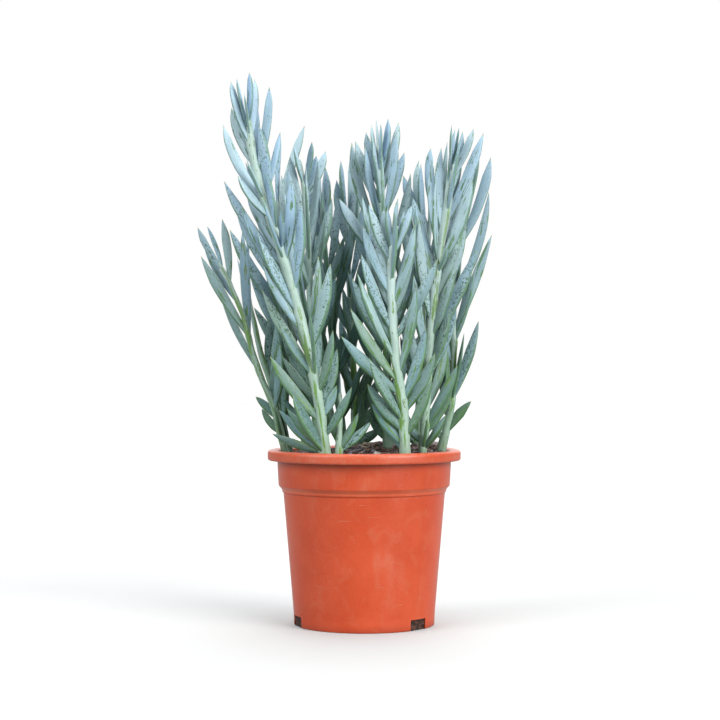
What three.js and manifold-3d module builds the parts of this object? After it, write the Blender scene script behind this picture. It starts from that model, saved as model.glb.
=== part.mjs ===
// A potted mount everest senecio: upright stems with fleshy, finger-like leaves in a plastic nursery pot.
// Millimetres, +Z up, the front towards -Y. The pot stands on Z = 0 with its axis on the Z axis.
import * as THREE from "three";
import { mergeVertices } from "three/addons/utils/BufferGeometryUtils.js";
import Module from "manifold-3d";

const wasm = await Module();
wasm.setup();

// Gap between pieces that touch, and the greatest step that may be smoothed away after a join
const GAP = 0.4;
const SLIVER = 0.05;

// Pot: radius and height of each corner, from the middle of the underside round to the floor inside
const POT_SIDES = 40;
const POT_UNDERSIDE = [[0, 0], [14, 0], [15, 3], [44, 3], [45, 0]];
const POT_OUTSIDE = [[47.2, 0], [47.5, 8], [54.4, 88.4], [55, 89.2], [55, 90.8], [57.6, 93.6]];
const POT_RIM = [
  [58.8, 115.6], [63.5, 115.6], [63.5, 110.6], [64.4, 110.6], [65, 111.8],
  [65, 115.6], [64.2, 116.9], [62.2, 117.5], [59.2, 117.1], [57.6, 116.2],
];
const POT_INSIDE = [[56.2, 94.2], [53.6, 91.4], [52.9, 88.4], [46.1, 8], [45.4, 4.6]];
const FLOOR_TOP = 4.6;
const NOTCH = { width: 15, height: 7.2, depth: 9, radius: 47.5, azimuths: [49, 169, 289] };

// Potting mix: a mound off centre, a heap against the rim and a fine unevenness
const SOIL_SIDES = 20;
const SOIL_TOP = { radius: 56.8, height: 112.5 };
const SOIL_RINGS = [50, 42, 33, 24, 15, 7];
const SOIL_MOUND = { x: 12, y: 8, height: 7.5, spread: 24 };
const SOIL_HEAP = { x: 50, y: 22, height: 5, spread: 9 };
const SOIL_RIPPLE = { height: 0.5, along: 0.45, across: 0.52 };

// Stems
const STEM_SIDES = 6;
const STEM_RINGS = 7;
const ROOT_DEPTH = 24;
const ROOT_DRAW_IN = 0.84;
const STEM_END = { length: 4, radius: 0.6 };
const AXIS_STEPS = 48;

// Leaves: half width and half thickness along the leaf as shares of the greatest one
const LEAF_WIDTH = [
  [0, 0.38], [0.1, 0.5], [0.22, 0.72], [0.36, 0.9], [0.55, 1],
  [0.7, 0.96], [0.82, 0.81], [0.92, 0.52], [1, 0.02],
];
const LEAF_DEPTH = [
  [0, 0.65], [0.1, 0.8], [0.25, 0.97], [0.45, 1], [0.6, 0.95], [0.78, 0.8], [0.9, 0.55], [1, 0.05],
];
const LEAF_ROWS = [0, 0.32, 0.76, 1];
const LEAF_WEDGE = { sides: 3, keel: 1, back: -0.85, cheek: 0.9 };
const LEAF_THICKNESS = 0.42; // share of the leaf's width
const LEAF_BOW = 0.07;
const GOLDEN_ANGLE = (137.508 * Math.PI) / 180;

// Leaves set by rule: length, lean from the stem and width, from the foot of the stem to its tip
const RULE = {
  shortest: 36, longest: 62, fullAt: 0.35, tuft: 40, tuftShare: 0.62,
  leanTip: 10, leanFoot: 26, leanPower: 1.6,
  width: 6.9, widthLoss: 1.8, crowdPower: 0.92, clearOfSeen: 2.4,
  openFrom: -25, openFacing: -0.6,
};

// Clearances that the leaves keep, and how they are bent to keep them
const SAMPLES = 13;
const EDGE_SHARE = 0.85;
const EDGE_CLEAR = 0.6;
const LEAF_CLEAR = 1.3;
const OWN_CLEAR = 0.6;
const STEM_CLEAR = 0.9;
const GROUND_CLEAR = 1;
const OWN_FROM = 5;
const GROUND_FROM = 2;
const RIM_ZONE = { radius: 56, height: 118.5 };
const FOOT_ABOVE_SOIL = 4;
const NUDGES = [0, -4, 4, -8, 8, -12, 12, -17, 17, -22, 22];
const TURNS = [0, 0.35, -0.35, 0.7, -0.7, 1.1, -1.1, 1.6, -1.6];
const LIFTS = [1, 0.65];
const TRIES = [[true, 1], [true, 0.8], [false, 1], [false, 0.8]];

// The clump seen from the front: how far leaves reach to each side at a height (height, x)
const CLUMP_LEFT = [
  [114, -62], [150, -60], [205, -60], [235, -62], [262, -76], [285, -80], [305, -79], [320, -84], [361, -88],
];
const CLUMP_RIGHT = [[114, 60], [150, 58], [178, 60], [225, 60], [250, 61], [268, 68], [290, 76], [320, 80]];

// Each stem: its route (x, y, z), thickness at foot and tip, leaf places, height of its top leaves, and the
// leaves that show in the photo, each as foot height, tip x, tip height, reach to the back, width and bow
const STEMS = [
  {
    name: "stem_front_left", thick: [6.8, 5.2], places: 44, crown: 362,
    route: [
      [-25, -44, 115], [-31, -44, 158], [-42, -43, 207], [-56, -42, 254], [-70, -40, 298], [-77, -38, 336],
    ],
    seen: [
      [116, -56, 145, 9, 6.6], [116, -46, 155, -13, 9.4], [118, -61, 129, 2, 5.8],
      [137, -61, 180, -6, 7.6], [139, -18, 161, -3, 5.8], [165, -36, 214, -16, 5.6],
      [167, -54, 199, -9, 5.4], [171, -67, 224, 6, 7], [182, -22, 240, -6, 8.2], [195, -66, 241, -2, 6],
      [217, -80, 278, 2, 7], [214, -84, 276, 8, 6.6, 0.1], [241, -66, 283, -12, 6.2],
      [241, -48, 294, -4, 8], [249, -54, 275, -13, 5.6], [238, -92, 295, 8, 7, 0.1],
      [260, -64, 298, -5, 7], [270, -82, 297, -7, 6.2, 0.1], [282, -76, 307, -13, 5.4],
      [282, -55, 327, 5, 4.4, 0.03], [280, -92, 331, 0, 6.4, 0.13], [299, -62, 356, 0, 6],
      [304, -87, 343, 5, 6.4, 0.12], [317, -87, 359, -3, 6.6], [321, -72, 362, 6, 5.2],
      [322, -78, 351, -9, 4.6], [326, -83, 361, -9, 5.2], [331, -75, 365, -3, 5.2],
    ],
  },
  {
    name: "stem_front_right", thick: [7, 4.6], places: 30, crown: 281,
    route: [[27, -42, 114], [25, -42, 148], [21, -42, 174], [18, -42, 211], [18, -41, 243], [21, -40, 261]],
    seen: [
      [118, 6, 147, 9, 6.2], [131, 2, 162, -4, 7.8], [150, 40, 199, -3, 7.6], [155, -15, 193, -5, 8],
      [180, -8, 231, 2, 7.4], [191, 47, 242, -4, 7.2], [196, -2, 246, -6, 6.6], [213, 33, 266, -3, 6.8],
      [219, -1, 265, 2, 6.2], [241, 3, 279, -3, 6.4], [246, 31, 279, 2, 5.4], [249, 15, 276, -5, 5.2],
      [249, 26, 275, -6, 5], [253, 22, 283, -3, 5],
    ],
  },
  {
    name: "stem_right", thick: [6, 5.4], places: 40, crown: 327,
    route: [
      [38, -31, 114], [40, -30, 139], [42, -30, 178], [46, -29, 217],
      [50, -28, 250], [54, -27, 273], [58, -26, 306],
    ],
    seen: [
      [116, 41, 140, -14, 6.2], [116, 53, 142, -15, 7], [134, 61, 174, -4, 7.6], [138, 34, 164, -5, 5.6],
      [166, 61, 213, 4, 6.6], [168, 56, 211, -6, 7], [234, 55, 257, -12, 4.6], [235, 71, 295, -7, 8.2],
      [236, 32, 285, 4, 7], [186, 74, 250, 6, 8, 0.04], [239, 47, 296, -9, 5.6], [260, 51, 318, 4, 6],
      [266, 79, 328, 4, 6.8, 0.04], [283, 65, 329, 3, 5.4], [288, 60, 330, 4, 5], [296, 72, 330, 2, 5.4],
      [300, 57, 331, -3, 5], [304, 62, 330, -5, 4.8],
    ],
  },
  {
    name: "stem_far_left", thick: [5.4, 2.6], places: 18, crown: 226,
    route: [
      [-53, -4, 115], [-60, -5, 144], [-69, -7, 166], [-75, -9, 184],
      [-81, -10, 207], [-90, -12, 229], [-95, -13, 239],
    ],
    seen: [
      [128, -69, 145, 3, 5.6, 0.1], [138, -73, 153, 0, 5.6, -0.05], [170, -96, 219, 3, 6.8, 0.03],
      [193, -82, 264, 6, 7.6, 0], [194, -109, 247, -4, 6.6, 0.03], [216, -107, 252, 4, 6, 0.05],
      [229, -95, 272, 1, 6, 0.06], [237, -111, 266, -2, 5.4, 0.09], [238, -105, 267, 3, 4.4],
    ],
  },
  {
    name: "stem_centre_left", thick: [5.8, 3], places: 31, crown: 317,
    route: [[-31, -6, 116], [-35, -6, 178], [-37, -4, 245], [-40, -2, 287], [-43, 0, 309]],
    seen: [
      [238, -22, 283, -6, 7], [268, -50, 315, 3, 6.4], [285, -26, 319, 5, 6.2], [292, -32, 315, 3, 5.2],
      [294, -35, 324, -2, 5.6], [296, -47, 322, -4, 5.4],
    ],
  },
  {
    name: "stem_centre_right", thick: [6, 3.8], places: 31, crown: 331,
    route: [[16, -12, 116], [15, -10, 191], [13, -8, 258], [11, -8, 285], [9, -6, 318]],
    seen: [
      [122, 3, 144, 4, 6.6], [243, -17, 286, 0, 7.4], [256, -8.4, 324, 4, 7.4, 0.13],
      [272, 27, 317, 3, 7, 0.02], [277, -6, 324, -3, 7, 0.05], [289, 23, 337, 0, 6],
      [298, 16, 339, -3, 6], [301, 5, 335, -3, 5.6], [303, 11, 335, -7, 5], [308, 8, 339, 3, 4.6],
    ],
  },
  {
    name: "shoot_front", thick: [4.6, 3], places: 4, crown: 166,
    route: [[-17, -43, 114], [-16, -42, 135], [-16, -42, 152]],
    seen: [[116, 4, 137, 4, 5.6], [119, -4, 143, -3, 5.6], [140, -16, 170, -2, 5.4]],
  },
  {
    name: "stem_far_right", thick: [6, 2.8], places: 26, crown: 262,
    route: [
      [52, 0, 116], [58, 0, 144], [60, 0, 169], [60, -2, 194],
      [60, -3, 215], [62, -4, 235], [65, -4, 255], [67, -4, 275],
    ],
    seen: [
      [128, 72, 150, -3, 6.6, -0.06], [148, 67, 196, -8, 6.4, 0.04], [150, 77, 204, -2, 6.6, 0.05],
      [188, 73, 236, -8, 6.4, 0.02], [191, 86, 262, 0, 6.4, 0], [218, 84, 291, 2, 6.2, 0.12],
      [256, 85, 314, 0, 7, 0.09], [260, 77, 321, -6, 6, 0.02],
    ],
  },
  {
    name: "stem_back_left", thick: [5.2, 2.8], places: 15, crown: 214,
    route: [[-51, 18, 115], [-60, 18, 150], [-70, 17, 180], [-75, 16, 203], [-79, 14, 222], [-81, 12, 242]],
    seen: [[152, -65, 206, 4, 8, -0.06], [210, -87, 248, 5, 5, 0.06], [232, -80, 262, 6, 5]],
  },
  {
    name: "stem_centre", thick: [5.6, 2.8], places: 19, crown: 310,
    route: [[-13, 12, 115], [-20, 12, 172], [-23, 12, 209], [-27, 14, 259], [-30, 14, 289]],
    seen: [[121, 3, 145, 3, 6.6], [150, -31, 190, 3, 7, 0.03], [262, -26.5, 309, -2, 7, 0.06]],
  },
  {
    name: "stem_rear_left", thick: [5.2, 2.8], places: 20, crown: 310,
    route: [[-40, 34, 114], [-46, 38, 164], [-53, 38, 219], [-60, 34, 285]],
    seen: [
      [168, -76, 214, -10, 8, 0.02], [176, -79, 236, -6, 7, 0.02], [206, -93, 268, -6, 8.6, 0.08],
      [278, -41, 340, -2, 6.2, -0.03], [283, -58, 335, 3, 4.8, -0.06],
    ],
  },
  {
    name: "stem_rear_right", thick: [5.4, 2.8], places: 21, crown: 318,
    route: [[36, 30, 114], [39, 32, 164], [42, 32, 219], [46, 30, 285]],
    seen: [
      [117, 12, 133, 2, 7], [120, 13, 141, -3, 6.8], [122, 21, 152, 3, 6.6], [262, 27, 305, -2, 7],
      [222, 26, 270, -4, 7, 0.03], [268, 38, 316, 3, 5.8, 0.2], [285, 46, 324, 0, 6.4],
    ],
  },
  {
    name: "stem_rear_centre", thick: [5.2, 2.8], places: 19, crown: 305,
    route: [[-7, 46, 113], [-7, 46, 164], [-10, 44, 219], [-12, 42, 279]],
    seen: [
      [119, 6, 146, -4, 7], [124, -1, 152, -6, 6.6], [118, 12, 130, -8, 7], [140, 8, 182, -8, 7],
      [140, -13, 178, -5, 7, 0.05], [150, 14, 196, -6, 7], [158, -24, 206, -4, 7],
      [168, -17, 207, 4, 7, 0.04], [183, -15, 228, -6, 7, -0.05], [212, 2, 256, -5, 7, 0.05],
      [250, -6, 300, -4, 7], [258, -19, 303, -3, 6.6], [258, -9, 324, 0, 7, 0.06], [269, -17, 305, 5, 6],
      [276, -16, 316, 0, 6.8],
    ],
  },
];

// Colours and finishes
const PLASTIC = { color: "#d5623f", roughness: 0.45, metalness: 0 };
const MIX = { color: "#4a3527", roughness: 0.95, metalness: 0 };
const LEAF = { color: "#8fb0b3", roughness: 0.6, metalness: 0 };

// Small tools

// A steady draw between 0 and 1 for a pair of whole numbers
function draw(a, b) {
  const v = Math.sin(a * 12.9898 + b * 78.233) * 43758.5453;
  return v - Math.floor(v);
}

// The value of a table of [place, value] rows at a place
function read(table, place) {
  if (place <= table[0][0]) return table[0][1];
  for (let i = 1; i < table.length; i++) {
    const [a, va] = table[i - 1];
    const [b, vb] = table[i];
    if (place <= b) return va + ((vb - va) * (place - a)) / (b - a);
  }
  return table.at(-1)[1];
}

const mix = (a, b, share) => a.clone().lerp(b, share);

// A closed solid from a geometry whose seams are merged first
function solid(geometry) {
  const bare = geometry.clone();
  bare.deleteAttribute("normal");
  bare.deleteAttribute("uv");
  const merged = mergeVertices(bare, 1e-4);
  const vertProperties = new Float32Array(merged.attributes.position.array);
  const triVerts = new Uint32Array(merged.index.array);
  return new wasm.Manifold(new wasm.Mesh({ numProp: 3, vertProperties, triVerts }));
}

// A join of several solids, without the slivers that joins leave
const joined = (bodies) => wasm.Manifold.union(bodies).simplify(SLIVER);

// A named mesh from a solid
function meshOf(name, body, finish) {
  const { vertProperties, triVerts } = body.getMesh();
  const geometry = new THREE.BufferGeometry();
  geometry.setAttribute("position", new THREE.BufferAttribute(vertProperties, 3));
  geometry.setIndex(new THREE.BufferAttribute(triVerts, 1));
  geometry.computeVertexNormals();
  const mesh = new THREE.Mesh(geometry, new THREE.MeshStandardMaterial(finish));
  mesh.name = name;
  return mesh;
}

// Moves every vertex of a geometry to the place that a rule gives for it
function reshape(geometry, rule) {
  const position = geometry.attributes.position;
  const at = new THREE.Vector3();
  for (let i = 0; i < position.count; i++) {
    const to = rule(at.fromBufferAttribute(position, i));
    position.setXYZ(i, to.x, to.y, to.z);
  }
  return geometry;
}

// A turned solid about the Z axis from [radius, height] rows
function turned(rows, sides) {
  const profile = rows.map(([r, z]) => new THREE.Vector2(r, z));
  return new THREE.LatheGeometry(profile, sides).rotateX(Math.PI / 2);
}

// Pot
function pot() {
  const rows = [...POT_UNDERSIDE, ...POT_OUTSIDE, ...POT_RIM, ...POT_INSIDE, [0, FLOOR_TOP]];
  let body = solid(turned(rows, POT_SIDES));
  for (const azimuth of NOTCH.azimuths) {
    const block = new THREE.BoxGeometry(NOTCH.width, NOTCH.depth, 2 * NOTCH.height);
    block.translate(0, -NOTCH.radius, 0);
    block.rotateZ((azimuth * Math.PI) / 180);
    body = body.subtract(solid(block));
  }
  return body;
}

// Potting mix
function hill(x, y, { x: cx, y: cy, height, spread }) {
  return height * Math.exp(-((x - cx) ** 2 + (y - cy) ** 2) / (2 * spread * spread));
}

function soilHeight(x, y) {
  const ripple = SOIL_RIPPLE.height * Math.sin(x * SOIL_RIPPLE.along) * Math.cos(y * SOIL_RIPPLE.across);
  return SOIL_TOP.height + hill(x, y, SOIL_MOUND) + hill(x, y, SOIL_HEAP) + ripple;
}

function pottingMix(stems) {
  const top = SOIL_TOP.height;
  const wall = POT_INSIDE.map(([r, z]) => [r - GAP, z + GAP]).reverse();
  const surface = [SOIL_TOP.radius, ...SOIL_RINGS, 0].map((r) => [r, top]);
  const rows = [[0, FLOOR_TOP + GAP], ...wall, ...surface];
  const heaped = reshape(turned(rows, SOIL_SIDES), (p) => {
    if (p.z > top - 0.01) p.z = soilHeight(p.x, p.y);
    return p;
  });
  const holes = stems.map((stem) => stemSolid(stem, GAP));
  return solid(heaped).subtract(wasm.Manifold.union(holes)).simplify(SLIVER);
}

// Stems: an axis with the length along it, so that a place on it is found by its distance from the soil
function stemAxis(data, index) {
  const points = data.route.map((p) => new THREE.Vector3(...p));
  const line = new THREE.CatmullRomCurve3(points, false, "catmullrom", 0.5).getPoints(AXIS_STEPS);
  const arc = [0];
  for (let i = 1; i < line.length; i++) arc.push(arc[i - 1] + line[i].distanceTo(line[i - 1]));
  const stem = { ...data, seed: index + 1, line, arc, length: arc.at(-1) };
  stem.heights = line.map((p, i) => [p.z, arc[i]]);
  stem.samples = [];
  for (let s = 0; s < stem.length + 1; s += 2.5) {
    stem.samples.push([...stemPlace(stem, s).point.toArray(), stemRadius(stem, s)]);
  }
  stem.first = 0;
  const bare = ({ point }) => point.z < soilHeight(point.x, point.y) + FOOT_ABOVE_SOIL;
  while (bare(stemPlace(stem, stem.first))) stem.first += 1;
  return stem;
}

function stemPlace(stem, distance) {
  const s = Math.min(Math.max(distance, 0), stem.length);
  const last = stem.line.length - 1;
  let i = stem.arc.findIndex((a) => a >= s);
  i = Math.max(1, i < 0 ? last : i);
  const share = (s - stem.arc[i - 1]) / (stem.arc[i] - stem.arc[i - 1]);
  const point = mix(stem.line[i - 1], stem.line[i], share);
  const along = stem.line[Math.min(i + 2, last)].clone().sub(stem.line[Math.max(i - 3, 0)]).normalize();
  return { point, along };
}

function stemRadius(stem, distance) {
  const share = Math.min(Math.max(distance / stem.length, 0), 1);
  return 0.5 * (stem.thick[0] * (1 - share) + stem.thick[1] * share);
}

// One stem as a bent, tapered rod from its buried end to its closed tip, grown by a margin for its hole
function stemSolid(stem, margin = 0) {
  const foot = stem.line[0];
  const depth = ROOT_DEPTH + margin;
  const buried = new THREE.Vector3(foot.x * ROOT_DRAW_IN, foot.y * ROOT_DRAW_IN, foot.z - depth);
  const end = stemPlace(stem, stem.length);
  const rings = [{ point: buried, along: foot.clone().sub(buried).normalize(), radius: stem.thick[0] / 2 }];
  for (let k = 0; k < STEM_RINGS; k++) {
    const s = (stem.length * k) / (STEM_RINGS - 1);
    rings.push({ ...stemPlace(stem, s), radius: stemRadius(stem, s) });
  }
  const tip = end.point.clone().addScaledVector(end.along, STEM_END.length);
  rings.push({ point: tip, along: end.along, radius: STEM_END.radius });
  const rod = new THREE.CylinderGeometry(1, 1, rings.length - 1, STEM_SIDES, rings.length - 1);
  const right = new THREE.Vector3(1, 0, 0);
  return solid(
    reshape(rod, (p) => {
      const ring = rings[Math.round(p.y + (rings.length - 1) / 2)];
      const back = new THREE.Vector3().crossVectors(ring.along, right).normalize();
      const side = new THREE.Vector3().crossVectors(back, ring.along);
      const reach = ring.radius + margin;
      return ring.point.clone().addScaledVector(side, p.x * reach).addScaledVector(back, -p.z * reach);
    }),
  );
}

// Leaves

// A leaf's middle line and the directions of its breadth and thickness at a share of its length
function leafFrame(leaf, t) {
  const { foot, bend, tip } = leaf;
  const point = foot.clone().multiplyScalar((1 - t) ** 2);
  point.addScaledVector(bend, 2 * t * (1 - t)).addScaledVector(tip, t * t);
  const along = bend.clone().sub(foot).multiplyScalar(1 - t);
  along.addScaledVector(tip.clone().sub(bend), t).normalize();
  const broad = leaf.up.clone().addScaledVector(along, -leaf.up.dot(along)).normalize();
  const flat = new THREE.Vector3().crossVectors(along, broad);
  const turn = leaf.twist * t;
  const wide = broad.multiplyScalar(Math.cos(turn)).addScaledVector(flat, Math.sin(turn));
  const thick = new THREE.Vector3().crossVectors(along, wide);
  const half = 0.5 * leaf.width;
  return {
    point, wide, thick,
    halfWidth: half * read(LEAF_WIDTH, t),
    halfDepth: half * LEAF_THICKNESS * read(LEAF_DEPTH, t),
  };
}

function leafFrom(stem, s, tip, width, bow, twist) {
  const { point: foot, along } = stemPlace(stem, s);
  const chord = tip.clone().sub(foot);
  const length = chord.length();
  const axis = chord.clone().normalize();
  const up = along.clone().addScaledVector(axis, -along.dot(axis)).normalize();
  const bend = foot.clone().addScaledVector(chord, 0.5).addScaledVector(up, -bow * length);
  const leaf = { stem, s, foot, tip, bend, up, width, twist, length, middle: new THREE.Vector3() };
  leaf.cloud = [];
  for (let k = 0; k < SAMPLES; k++) {
    const at = leafFrame(leaf, k / (SAMPLES - 1));
    const edge = at.wide.clone().multiplyScalar(at.halfWidth * EDGE_SHARE);
    leaf.cloud.push({ k, point: at.point, clear: at.halfDepth });
    leaf.cloud.push({ k, point: at.point.clone().add(edge), clear: at.halfDepth * EDGE_CLEAR });
    leaf.cloud.push({ k, point: at.point.clone().sub(edge), clear: at.halfDepth * EDGE_CLEAR });
    leaf.middle.addScaledVector(at.point, 1 / SAMPLES);
  }
  return leaf;
}

// Whether two leaves come nearer than a gap, from a sample on
function near(a, b, gap, from) {
  if (a.middle.distanceTo(b.middle) > 0.62 * (a.length + b.length)) return false;
  const close = (p, q) => q.k >= from && p.point.distanceTo(q.point) - p.clear - q.clear < gap;
  return a.cloud.some((p) => p.k >= from && b.cloud.some((q) => close(p, q)));
}

function nearStem(leaf, stem) {
  const close = ({ point, clear }, [x, y, z, radius]) =>
    Math.hypot(point.x - x, point.y - y, point.z - z) - clear - radius < STEM_CLEAR;
  return leaf.cloud.some((at) => stem.samples.some((sample) => close(at, sample)));
}

function nearGround({ k, point, clear }) {
  if (k < GROUND_FROM) return false;
  const atRim = Math.hypot(point.x, point.y) > RIM_ZONE.radius;
  const ground = atRim ? RIM_ZONE.height : soilHeight(point.x, point.y);
  return point.z - clear < ground + GROUND_CLEAR;
}

function fits(leaf, crowd, stems, clearOfOwn) {
  if (leaf.cloud.some(nearGround)) return false;
  if (stems.some((stem) => stem !== leaf.stem && nearStem(leaf, stem))) return false;
  return !crowd.some((other) => {
    if (other.stem !== leaf.stem) return near(leaf, other, LEAF_CLEAR, 0);
    return clearOfOwn && near(leaf, other, OWN_CLEAR, OWN_FROM);
  });
}

// A leaf seen in the photo: its tip is moved to the front or back until it is clear of the others
function seenLeaf(stem, row, index, crowd, stems) {
  const [footHeight, tipX, tipZ, reach, width, bow = LEAF_BOW] = row;
  const s = Math.max(read(stem.heights, footHeight), stem.first);
  const foot = stemPlace(stem, s).point;
  const twist = 0.25 * (draw(stem.seed, index) - 0.5);
  stem.taken.push(s);
  for (const clearOfOwn of [true, false]) {
    for (const nudge of NUDGES) {
      const tip = new THREE.Vector3(tipX, foot.y + reach + nudge, tipZ);
      const leaf = leafFrom(stem, s, tip, width, bow, twist);
      if (fits(leaf, crowd, stems, clearOfOwn)) return leaf;
    }
  }
  return null;
}

function insideClump(stem, tip) {
  return tip.z <= stem.crown && tip.x > read(CLUMP_LEFT, tip.z) && tip.x < read(CLUMP_RIGHT, tip.z);
}

// A leaf by rule: the golden angle sets its direction, and it is turned, lifted or shortened until clear.
// Below their tufts the foremost stems carry no leaf straight in front, so the bare stem shows there.
function ruleLeaf(stem, index, crowd, stems) {
  const share = (index + 0.5) / stem.places;
  const s = stem.first + (stem.length - stem.first) * share ** RULE.crowdPower;
  if (stem.taken.some((other) => Math.abs(other - s) < RULE.clearOfSeen)) return null;
  const { point: foot, along } = stemPlace(stem, s);
  const side = new THREE.Vector3().crossVectors(along, new THREE.Vector3(0, 1, 0)).normalize();
  const back = new THREE.Vector3().crossVectors(along, side);
  const full = RULE.shortest + (RULE.longest - RULE.shortest) * Math.min(share / RULE.fullAt, 1);
  const left = Math.min((stem.length - s) / RULE.tuft, 1);
  const tuft = RULE.tuftShare + (1 - RULE.tuftShare) * left;
  const length = full * tuft * (0.9 + 0.2 * draw(stem.seed, index + 50));
  const leanDegrees = RULE.leanTip + RULE.leanFoot * (1 - share) ** RULE.leanPower;
  const lean = ((leanDegrees * Math.PI) / 180) * (0.85 + 0.3 * draw(stem.seed, index + 90));
  const narrowing = RULE.widthLoss * Math.max(0, 2 * share - 1);
  const width = (RULE.width - narrowing) * (0.9 + 0.2 * draw(stem.seed, index + 130));
  const twist = 0.7 * (draw(stem.seed, index + 170) - 0.5);
  for (const [clearOfOwn, size] of TRIES) {
    for (const turn of TURNS) {
      const azimuth = index * GOLDEN_ANGLE + turn;
      const out = side.clone().multiplyScalar(Math.cos(azimuth)).addScaledVector(back, Math.sin(azimuth));
      if (foot.y < RULE.openFrom && left === 1 && out.y < RULE.openFacing) continue;
      for (const lift of LIFTS) {
        const tip = foot.clone().addScaledVector(along, length * size * Math.cos(lean * lift));
        tip.addScaledVector(out, length * size * Math.sin(lean * lift));
        if (!insideClump(stem, tip)) continue;
        const leaf = leafFrom(stem, s, tip, width, LEAF_BOW, twist);
        if (fits(leaf, crowd, stems, clearOfOwn)) return leaf;
      }
    }
  }
  return null;
}

// All leaves of the plant: the seen ones first, then the rule fills the places between them
function growLeaves(stems) {
  const crowd = [];
  const keep = (leaf) => leaf && crowd.push(leaf);
  for (const stem of stems) {
    stem.taken = [];
    stem.seen.forEach((row, index) => keep(seenLeaf(stem, row, index, crowd, stems)));
  }
  for (const stem of stems) {
    for (let index = 0; index < stem.places; index++) keep(ruleLeaf(stem, index, crowd, stems));
  }
  return crowd;
}

// One leaf as a three-sided cone bent along its middle line: keen towards the stem and blunt outside
function leafSolid(leaf) {
  const rows = LEAF_ROWS.length - 1;
  const frames = LEAF_ROWS.map((t) => leafFrame(leaf, t));
  const { sides, keel, back, cheek } = LEAF_WEDGE;
  return solid(
    reshape(new THREE.ConeGeometry(1, 1, sides, rows), (p) => {
      const t = p.y + 0.5;
      const at = frames[Math.round(t * rows)];
      if (t > 0.99) return at.point;
      const across = p.z > 0 ? keel : back;
      const out = p.z > 0 ? 0 : Math.sign(p.x) * cheek;
      const to = at.point.clone().addScaledVector(at.wide, across * at.halfWidth);
      return to.addScaledVector(at.thick, out * at.halfDepth);
    }),
  );
}

function leafyStem(stem, leaves) {
  const own = leaves.filter((leaf) => leaf.stem === stem).map(leafSolid);
  return joined([stemSolid(stem), ...own]);
}

// The whole plant
const stems = STEMS.map(stemAxis);
const leaves = growLeaves(stems);
const plant = new THREE.Group();
plant.name = "potted_mount_everest_senecio";
plant.add(meshOf("pot", pot(), PLASTIC));
plant.add(meshOf("potting_mix", pottingMix(stems), MIX));
for (const stem of stems) plant.add(meshOf(stem.name, leafyStem(stem, leaves), LEAF));

export default plant;
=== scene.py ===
# %% [markdown]
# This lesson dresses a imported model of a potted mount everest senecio. The model already has every piece in
# place: a plastic nursery pot, the potting mix and thirteen leafy shoots with coarse, three-sided leaves.
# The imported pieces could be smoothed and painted, but their few faces would show at every edge. So each
# piece gets a finer one, grown by the same rule as the coarse one, and both stay in the same place.

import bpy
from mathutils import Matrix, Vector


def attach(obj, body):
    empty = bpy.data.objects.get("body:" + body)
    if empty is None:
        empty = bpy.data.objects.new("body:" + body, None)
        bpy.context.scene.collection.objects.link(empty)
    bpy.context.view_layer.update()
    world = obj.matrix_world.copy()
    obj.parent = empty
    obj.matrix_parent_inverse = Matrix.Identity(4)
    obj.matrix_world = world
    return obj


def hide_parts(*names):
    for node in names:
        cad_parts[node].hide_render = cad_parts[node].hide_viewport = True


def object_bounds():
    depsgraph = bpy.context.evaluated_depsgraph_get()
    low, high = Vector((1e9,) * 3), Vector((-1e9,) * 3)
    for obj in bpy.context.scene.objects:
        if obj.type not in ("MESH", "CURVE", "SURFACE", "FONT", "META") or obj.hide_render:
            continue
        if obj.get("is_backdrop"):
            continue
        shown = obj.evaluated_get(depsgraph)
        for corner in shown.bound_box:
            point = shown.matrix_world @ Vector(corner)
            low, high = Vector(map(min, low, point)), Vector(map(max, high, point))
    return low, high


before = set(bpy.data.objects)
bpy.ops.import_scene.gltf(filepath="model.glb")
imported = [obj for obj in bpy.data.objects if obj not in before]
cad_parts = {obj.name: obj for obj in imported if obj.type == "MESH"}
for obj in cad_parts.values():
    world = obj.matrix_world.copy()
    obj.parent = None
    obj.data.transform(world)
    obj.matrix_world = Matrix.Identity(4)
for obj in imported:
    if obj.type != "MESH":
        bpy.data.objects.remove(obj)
cad_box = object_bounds()
print("nodes in the frame:", len(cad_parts))

# %% Bring in the tools
import math

import bmesh
import bpy
import numpy as np
from mathutils import Vector
from mathutils import noise as rough_noise

MM = 0.001
ROOT = "root"

# %% [markdown]
# The picture is taken from the front with a long lens, level with the middle of the plant, as a catalogue
# picture is. The lens and the distance are worked out from the pot: its rim is a circle, and how far that
# circle opens on its way round gives the distance. A level camera keeps upright things upright.

# %% Set up the camera
CAMERA_PLACE = (-2.8, -1235.0, 177.6)
CAMERA_LENS = 91.6
SENSOR = 36.0

camera_data = bpy.data.cameras.new("camera")
camera_data.lens = CAMERA_LENS
camera_data.sensor_width = SENSOR
camera_data.clip_end = 50.0
camera = bpy.data.objects.new("camera", camera_data)
camera.location = Vector(CAMERA_PLACE) * MM
camera.rotation_euler = (math.radians(90), 0, 0)
bpy.context.scene.collection.objects.link(camera)
bpy.context.scene.camera = camera
print("camera", CAMERA_PLACE, "mm, lens", CAMERA_LENS, "mm")

# %% [markdown]
# A studio picture of a plant has a white sweep and large soft lamps. Lamps near the plant leave the far end
# of the sweep dark, so these are suns with a wide disc: they light the sheet evenly and still cast soft
# shadows. The one from the right is the stronger and gives the pot its light and dark side, and the one from
# the left opens the shade. The one from above makes the tops of the leaves pale, and a weak one behind lights
# their rims and lays a soft shadow in front of the pot.

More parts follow.
